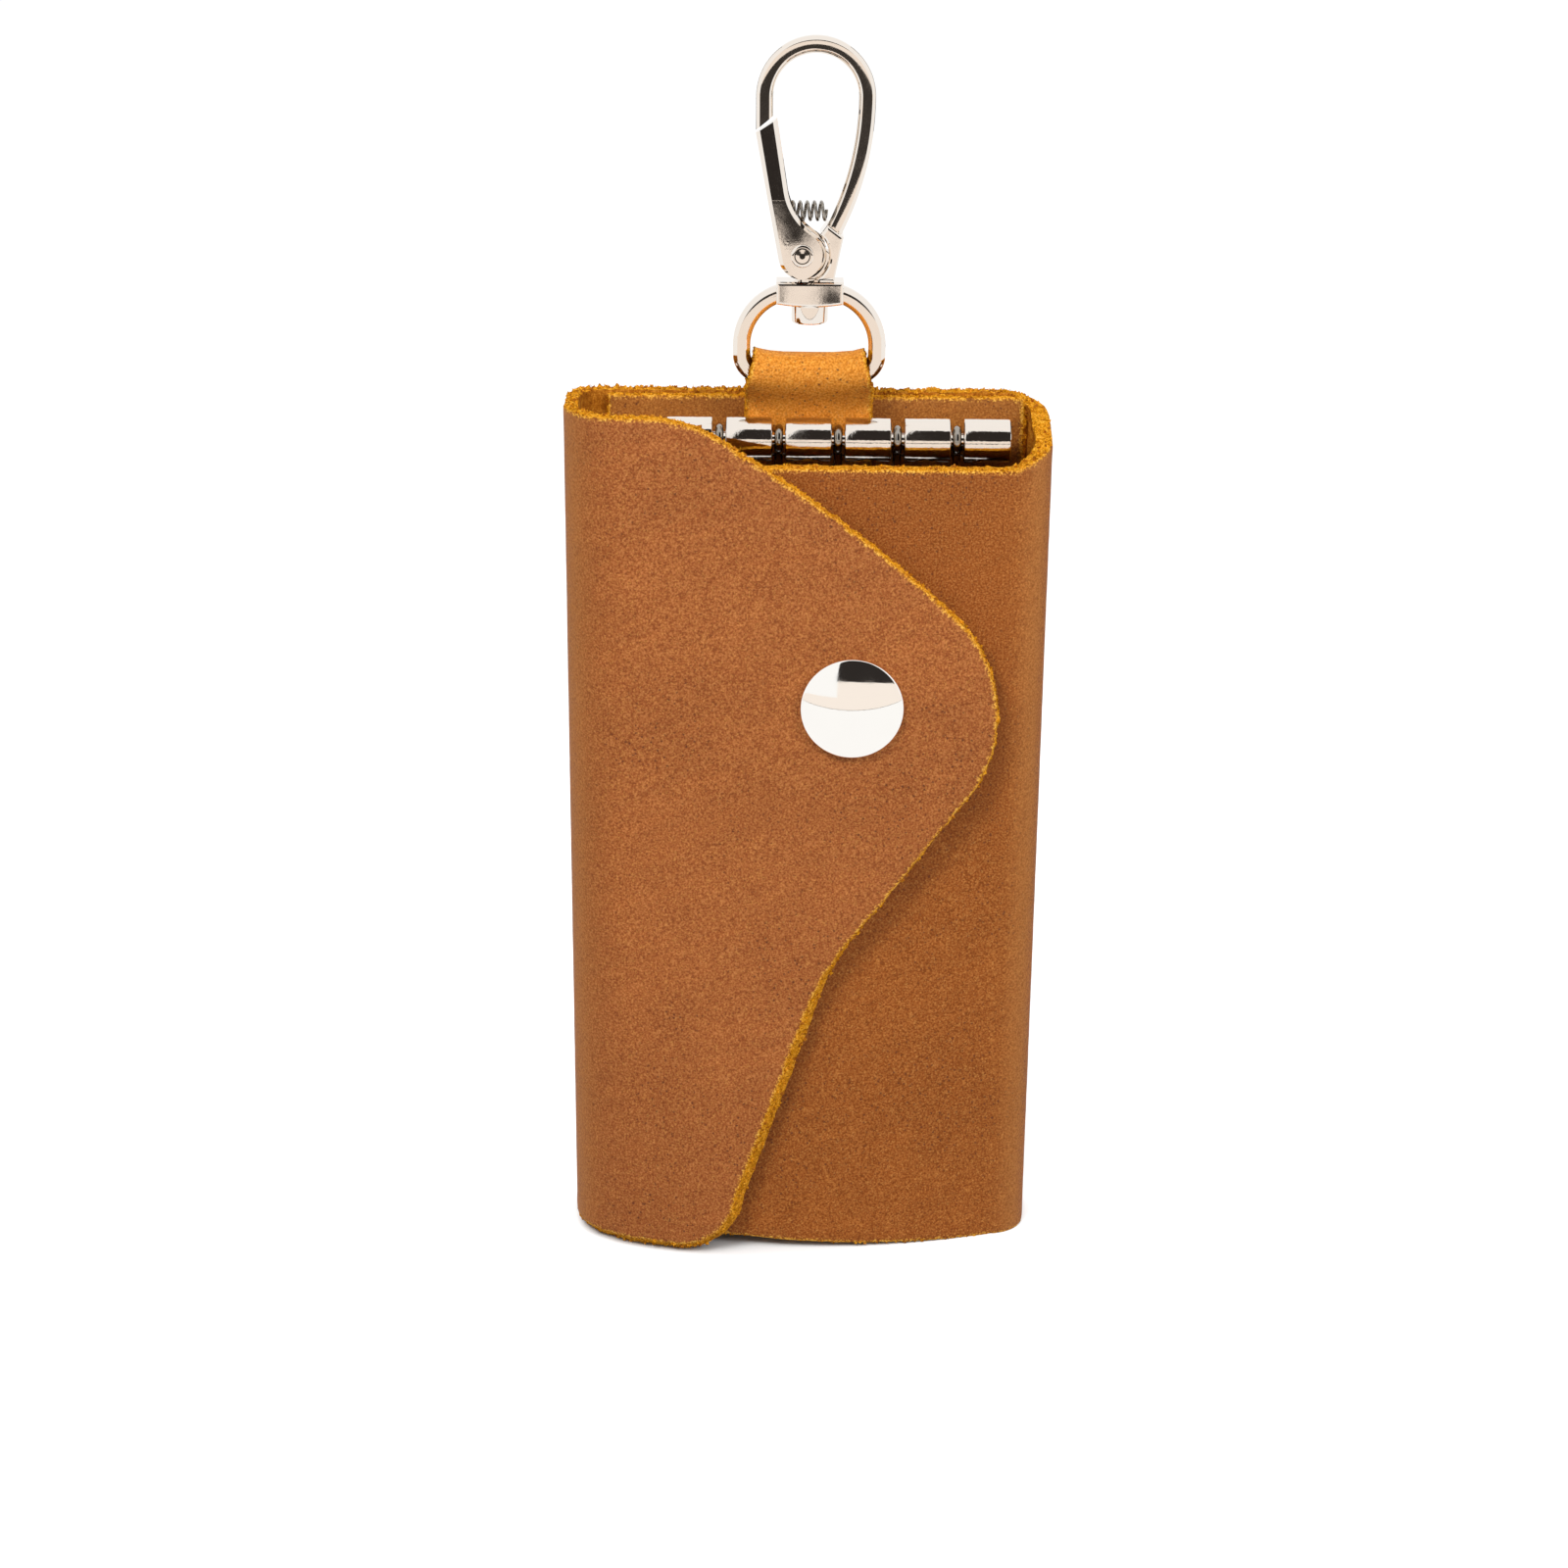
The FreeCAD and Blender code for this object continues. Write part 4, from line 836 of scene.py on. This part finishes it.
# Gate: pressed channel, its two cheeks round the tongue
gate = {"web": 1.1, "cheekWeb": 0.12, "slot": 3.0, "slotTop": 12.4, "slotWall": 0.5, "tipGap": 0.35, "tipWide": 2.6,
        "tipDeep": 2.4, "taper": 8.0, "heelDrop": 0.8, "neck": (-2.9, 11.0), "throat": (-1.7, 7.9), "lapX": 0.9,
        "bevel": 0.5, "bevelShare": 0.2, "solid": 0.05, "lip": 0.1, "footGap": 0.06, "footRows": 8, "footTop": 2.4,
        "armStart": 2.2, "armStep": 0.22, "tipRows": 26, "throatStep": 0.2}
neckX, neckRise = gate["neck"]
gateLeft = bowLeft - hookR
tipRise = bowRise - hook["noseDrop"] - gate["tipGap"]
heelX = pivotX - math.sqrt(hook["cheek"] ** 2 - gate["heelDrop"] ** 2)
heelRise = pivotRise - gate["heelDrop"]
lapRise = pivotRise + math.sqrt(hook["cheek"] ** 2 - (gate["lapX"] - pivotX) ** 2)
tipX, tipInner = gateLeft + gate["tipWide"], tipRise + hook["noseSlant"]
leanIn = (heelX - gateLeft) / (tipRise - heelRise)
cheekTop = pivotRise + hook["tongueRadius"] + hook["cheekGap"]
innerArc = [gate["neck"]] + arcThrough(gate["neck"], gate["throat"], (gate["lapX"], lapRise), gate["throatStep"])
innerX, innerRise = np.array(innerArc)[::-1].T


def gateEdges(rise):  # outer and inner edge of the gate at a rise
    reach = math.sqrt(max(0.0, hook["cheek"] ** 2 - (rise - pivotRise) ** 2))
    left = heelX - leanIn * (rise - heelRise) if rise > heelRise else pivotX - reach
    right = np.interp(rise, innerRise, innerX) if rise > lapRise else pivotX + reach
    return left, right


lowest = pivotRise - hook["cheek"] + gate["footGap"]
armRises = list(np.linspace(lowest, pivotRise - gate["footTop"], gate["footRows"]))
armRises += list(np.arange(pivotRise - gate["armStart"], neckRise, gate["armStep"]))
sections = [(*gateEdges(rise), rise, rise) for rise in armRises]
neckLeft = gateEdges(neckRise)[0]
for t in np.linspace(0, 1, gate["tipRows"]):  # from the neck the rows slant towards the tip's bevel
    sections.append((neckLeft + (gateLeft - neckLeft) * t, neckX + (tipX - neckX) * t,
                     neckRise + (tipRise - neckRise) * t, neckRise + (tipInner - neckRise) * t))
gateRows = []
for left, right, leftRise, rightRise in sections:
    share = min(1.0, max(0.0, (leftRise - tipRise + gate["taper"]) / gate["taper"]))
    d = deep * (1 - share * (1 - gate["tipDeep"] / hook["blockDeep"]))
    c = min(gate["bevel"], (right - left) * gate["bevelShare"])
    s = min(gate["slot"] / 2, d - gate["slotWall"])
    web = min(left + (gate["web"] if leftRise > cheekTop else gate["cheekWeb"]), right - gate["lip"])
    web = right - gate["solid"] if leftRise > gate["slotTop"] else web
    outline = [(left + c, -d), (right - c, -d), (right, -d + c), (right, -s), (web, -s), (web, s), (right, s),
               (right, d - c), (right - c, d), (left + c, d), (left, d - c), (left, -d + c)]
    gateRows.append([(x, ringY + y, hookFoot + leftRise + (rightRise - leftRise) * ((x - left) / (right - left)))
                     for x, y in outline])
hookGate = joinParts("hookGate", [skin(gateRows)], [castNickel], sharp=6)
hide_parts("hook_gate")
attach(hookGate, "gate")

# Gate rivet: peened head with a dark ring, its groove painted near black as shade, and a centre dimple, front and back
pin = {"head": 1.45, "rise": 0.35, "shaft": 1.0, "ringIn": 0.86, "ringOut": 1.0, "dimple": 0.36, "sink": 0.16,
       "sides": 40, "peen": ((0, 0.18), (0.08, 0.28)), "crownIn": 0.2, "domeRise": 0.03, "dimpleIn": 0.1,
       "groove": (1.02, 0.04), "grooveTop": 0.06, "grooveLow": 0.05, "shaftIn": 0.3, "seat": 0.05}
top = pin["rise"]
sunk = top - pin["sink"]
headRows = [(axisMm, 0), (pin["head"], 0.0)] + [(pin["head"] - inset, rise) for inset, rise in pin["peen"]]
headRows += [(pin["head"] - pin["crownIn"], top), (pin["ringOut"], top), (pin["ringOut"], sunk)]
innerRows = [(pin["ringIn"], sunk), (pin["ringIn"], top), (pin["dimple"], top + pin["domeRise"]),
             (pin["dimple"] - pin["dimpleIn"], sunk)]
grooveOut, grooveIn = pin["groove"]
grooveHigh, grooveFloor = top - pin["grooveTop"], sunk - pin["grooveLow"]
grooveRows = [(grooveOut, grooveFloor), (grooveOut, grooveHigh), (grooveIn, grooveHigh), (grooveIn, grooveFloor)]
shaftLow, shaftHigh = pin["shaftIn"], 2 * deep - pin["shaftIn"]
shaftRows = [(axisMm, shaftLow), (pin["shaft"], shaftLow), (pin["shaft"], shaftHigh), (axisMm, shaftHigh)]
pinZ = hookFoot + pivotRise
pinParts = [turned(shaftRows, (pivotX, ringY - deep, pinZ), (0, 1, 0), pin["sides"])]
for side in (-1, 1):
    # finish 1 paints the ring groove near black: painted shade
    for rows, finish in ((headRows, 0), (innerRows, 0), (grooveRows, 1)):
        seat = (pivotX, ringY + side * (deep - pin["seat"]), pinZ)
        pinParts.append((*turned(rows, seat, (0, side, 0), pin["sides"]), finish))
gatePin = joinParts("gatePin", pinParts, [castNickel, grooveShadeSteel], sharp=40)
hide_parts("gate_pin")
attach(gatePin, "hook")

# Gate spring: close wound steel wire in the channel
springLow, springHigh = boxMm("gate_spring")
spring = {"turns": 6.0, "wire": 0.42, "steps": 28, "around": 10, "keep": 0.68}
wire = spring["wire"] / 2
springRadius = (springHigh[2] - springLow[2]) / 2 - wire
springZ = (springLow[2] + springHigh[2]) / 2
startX, endX = springLow[0] + wire, springHigh[0] - wire
springRows = []
total = int(spring["turns"] * spring["steps"])
around = turnAngles(spring["around"])
for t in (i / total for i in range(total + 1)):
    a = 2 * math.pi * spring["turns"] * t
    outDir = Vector((0, math.cos(a), math.sin(a)))
    centre = Vector((startX + (endX - startX) * t, ringY, springZ)) + outDir * springRadius
    springRows.append([centre + outDir * (wire * math.cos(b)) + Vector((wire * math.sin(b), 0, 0)) for b in around])
gateSpring = joinParts("gateSpring", [skin(springRows)], [wireSteel], sharp=60)
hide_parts("gate_spring")
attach(gateSpring, "hook")
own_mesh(gateSpring)
print("swivel hook done")

# Key row: D-shaped knuckles on a back strip, with the rod between them
rowLow, rowHigh = boxMm("key_plate")
row = {"hooks": 6, "slot": 1.65, "radius": 2.8, "wall": 0.7, "bevel": 0.22, "stripTop": 0.4, "stripIn": 0.3,
       "stripUp": 0.1, "stripBevel": 0.1, "endOver": 1.5, "foot": 1.8, "footSides": 32, "turnStep": 6}
rodLow, rodHigh = boxMm("key_rod")
rodY, rodZ = [(rodLow[i] + rodHigh[i]) / 2 for i in (1, 2)]
rowBack = rodY + row["radius"]
rowHalf = (rowHigh[0] - rowLow[0]) / 2
pitch = (2 * rowHalf + row["endOver"]) / (row["hooks"] + 1)
section = [(rowBack, rodZ - row["radius"])]
section += [(rodY - across, rodZ + up)
            for up, across in (spoke(row["radius"], a) for a in range(-90, 181, row["turnStep"]))]
slotsAt = [(k - (row["hooks"] - 1) / 2) * pitch for k in range(row["hooks"])]
starts = [-rowHalf] + [x + row["slot"] / 2 for x in slotsAt]
ends = [x - row["slot"] / 2 for x in slotsAt] + [rowHalf]
rowParts = []
for x0, x1 in zip(starts, ends):
    flat, faces = plate(section, x0, x1, row["bevel"])  # the plate's thickness runs along the row
    rowParts.append(([(y, x, z) for x, y, z in flat], [f[::-1] for f in faces]))
stripHalf, stripLow, stripHigh = rowHalf - row["stripIn"], rodZ - row["radius"] + row["stripUp"], rodZ + row["stripTop"]
rowParts.append(plate([(-stripHalf, stripLow), (stripHalf, stripLow), (stripHalf, stripHigh), (-stripHalf, stripHigh)],
                      rowBack - row["wall"], rowBack, row["stripBevel"]))
footTall = rowHigh[1] - rowBack
footRows = [(axisMm, 0), (row["foot"], 0), (row["foot"], footTall), (axisMm, footTall)]
for side in (-1, 1):
    footX = side * (row["hooks"] / 2 * pitch)
    rowParts.append(turned(footRows, (footX, rowBack, rodZ), (0, 1, 0), row["footSides"]))
keyRow = joinParts("keyRow", rowParts, [rowNickel], sharp=25)
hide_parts("key_plate")
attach(keyRow, "case_back")

# Key hooks: round wire bent to an eye, a stem and a long loop
keyWire = {"wire": 1.1, "eye": 1.4, "loopGap": 0.4, "length": 29.0, "half": 2.85, "around": 14, "stepMm": 0.4,
           "eyeStep": 12}
wireR = keyWire["wire"] / 2
loopTop = rodZ - row["radius"] - keyWire["loopGap"] - wireR
loopHigh, loopLow = loopTop - keyWire["half"], loopTop - keyWire["length"] + keyWire["half"]
wireSection = [(wireR * math.cos(a), wireR * math.sin(a)) for a in turnAngles(keyWire["around"])]
for number, x in enumerate(slotsAt, start=1):
    line = arcRun((x, loopHigh), keyWire["half"], 0, 180, keyWire["stepMm"])
    line += arcRun((x, loopLow), keyWire["half"], 180, 360, keyWire["stepMm"])
    loopPath = [(px, rodY, pz) for px, pz in tidyLine(line)]
    eyeTurns = [spoke(keyWire["eye"], a) for a in range(0, 360, keyWire["eyeStep"])]
    eyePath = [(x, rodY + back, rodZ + up) for back, up in eyeTurns]
    stemPath = [(x, rodY, loopTop), (x, rodY, rodZ - keyWire["eye"])]
    keyHook = joinParts("keyHook%d" % number, [
        swept(loopPath, wireSection, (0, 1, 0), closed=True),
        swept(eyePath, wireSection, (1, 0, 0), closed=True),
        swept(stemPath, wireSection, (0, 1, 0))], [wireSteel], sharp=60)
    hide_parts("key_hook_%d" % number)
    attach(keyHook, "key_hook_%d" % number)
print("key row done")

for name, node in nodes.items():  # rod, rivets and the snap's inner parts keep their CAD shape
    if node.hide_render:
        continue
    node.data.materials.clear()
    node.data.materials.append(wireSteel if name == "socket_spring" else castNickel)
print("metal dressed")

# Floor, light and camera
studio = {"floorHalf": 3.0, "paper": "#B8B8B8", "litPaper": "#CACACA", "floorGlow": 0.8, "contactMm": 150.0,
          "contactLow": 0.22, "contactHigh": 0.66, "worldFill": 0.4}
white = (1, 1, 1, 1)


def addSheet(name, corners, material):  # one flat face, in metres
    mesh = bpy.data.meshes.new(name)
    mesh.from_pydata(corners, [], [list(range(len(corners)))])
    mesh.materials.append(material)
    return addObject(name, mesh)


# Matt white paper: diffuse, lifted to white for the camera by a glow that ambient occlusion dims near the object, a
# painted contact shadow; plain white in the metal
paper = cleared(bpy.data.materials.new("matt_white_paper"))
path = addNode(paper, "LightPath").outputs
matt, lit = [addNode(paper, "BsdfDiffuse", {"Color": hexColour(studio[key])}) for key in ("paper", "litPaper")]
# the glow fades where ambient occlusion finds the object close: painted contact shadow
near = addNode(paper, "AmbientOcclusion", {"Distance": studio["contactMm"] * mm}).outputs["AO"]
paintedContactShadow = addNode(paper, "MapRange", {"Value": near, "From Min": studio["contactLow"],
                                      "From Max": studio["contactHigh"], "To Min": 0.0, "To Max": studio["floorGlow"]})
glow = addNode(paper, "Emission", {"Color": white, "Strength": paintedContactShadow})
seen = addNode(paper, "AddShader", {0: lit, 1: glow})
mirrored = addNode(paper, "Emission", {"Color": white, "Strength": 1.0})
toCamera = addNode(paper, "MixShader", {0: path["Is Camera Ray"], 1: matt, 2: seen})
both = addNode(paper, "MixShader", {0: path["Is Glossy Ray"], 1: toCamera, 2: mirrored})
addNode(paper, "OutputMaterial", {"Surface": both})
half = studio["floorHalf"]
floor = addSheet("studioFloor", [(-half, -half, 0), (half, -half, 0), (half, half, 0), (-half, half, 0)], paper)

world = cleared(bpy.data.worlds.new("whiteStudio"))
bpy.context.scene.world = world
path = addNode(world, "LightPath").outputs
seen = addNode(world, "Math", {0: path["Is Camera Ray"], 1: path["Is Glossy Ray"]}, operation="MAXIMUM")
level = addNode(world, "MapRange", {"Value": seen, "To Min": studio["worldFill"], "To Max": 1.0})
sky = addNode(world, "Background", {"Color": white, "Strength": level})
addNode(world, "OutputWorld", {"Surface": sky})

lamps = {"keyLamp": {"place": (-0.22, -0.34, 0.52), "target": (0, 0, 0.07), "power": 2.15, "size": 0.18},
         "fillLamp": {"place": (0.34, -0.27, 0.32), "target": (0.01, 0, 0.08), "power": 1.1, "size": 0.2}}
for name, lamp in lamps.items():
    light = addObject(name, bpy.data.lights.new(name, "AREA"))
    light.data.energy, light.data.size = lamp["power"], lamp["size"]
    light.location = lamp["place"]
    light.rotation_euler = (Vector(lamp["target"]) - Vector(lamp["place"])).to_track_quat("-Z", "Y").to_euler()
    light.visible_glossy = False

# Cards seen only in the metal: a dark room, a table's edge and a pale wall. Each has its tone, the axis that it
# faces, its place on that axis and its corners on the other two, in metres.
dark, pale, lowLevel = "#3A3633", "#FBF1E8", 0.079
besideCorners = [(0.15, 0.0), (0.9, 0.0), (0.9, 0.9), (0.15, 0.9)]
cards = {
    "frontCard": ("#2E2A28", 1, -0.31, [(-0.085, 0.17), (0.37, 0.155), (0.37, 0.72), (-0.06, 0.72)]),
    "lowCard": (dark, 2, lowLevel, [(-0.6, -0.36), (-0.0065, -0.36), (-0.0035, -0.32), (0.001, -0.32), (0.006, -0.36),
                                    (0.6, -0.36), (0.6, -0.9), (-0.6, -0.9)]),
    "bossLeft": (dark, 2, lowLevel, [(-0.0056, -0.244), (-0.0038, -0.244), (-0.0038, -0.275), (-0.0056, -0.275)]),
    "bossRight": (dark, 2, lowLevel, [(0.0042, -0.244), (0.0088, -0.244), (0.0088, -0.268), (0.0042, -0.268)]),
    "tableEdge": ("#82776E", 2, 0.002, [(-0.5, -0.29), (0.5, -0.282), (0.5, -0.291), (-0.5, -0.299)]),
    "beyondTable": (pale, 2, 0.001, [(-2.5, -0.295), (2.5, -0.285), (2.5, -2.9), (-2.5, -2.9)]),
    "frontWall": (pale, 1, -1.2, [(-0.32, 0.0), (2.0, 0.0), (2.0, 0.7), (-0.32, 0.7)]),
    "leftCard": (dark, 0, -0.6, besideCorners),
    "rightCard": (dark, 0, 0.6, besideCorners)}
for name, (tone, axis, level, corners) in cards.items():
    corners = [(*corner[:axis], level, *corner[axis:]) for corner in corners]
    cardPaint = cleared(bpy.data.materials.new("card_" + name))
    shine = addNode(cardPaint, "Emission", {"Color": hexColour(tone), "Strength": 1.0})
    addNode(cardPaint, "OutputMaterial", {"Surface": shine})
    card = addSheet(name, corners, cardPaint)
    card.visible_camera = card.visible_diffuse = card.visible_shadow = card.visible_transmission = False

lens = {"place": (-0.0027, -0.362, 0.1954), "pitch": 70.0, "roll": 0.5, "focal": 67.5, "sensor": 36.0, "near": 0.01}
camera = addObject("photoCamera", bpy.data.cameras.new("photoCamera"))
camera.data.lens, camera.data.sensor_width, camera.data.clip_start = lens["focal"], lens["sensor"], lens["near"]
camera.matrix_world = (Matrix.Translation(lens["place"]) @ Matrix.Rotation(math.radians(lens["pitch"]), 4, "X")
                       @ Matrix.Rotation(math.radians(lens["roll"]), 4, "Z"))
bpy.context.scene.camera = camera
bpy.context.scene.view_settings.view_transform = "Standard"

print("scene done")
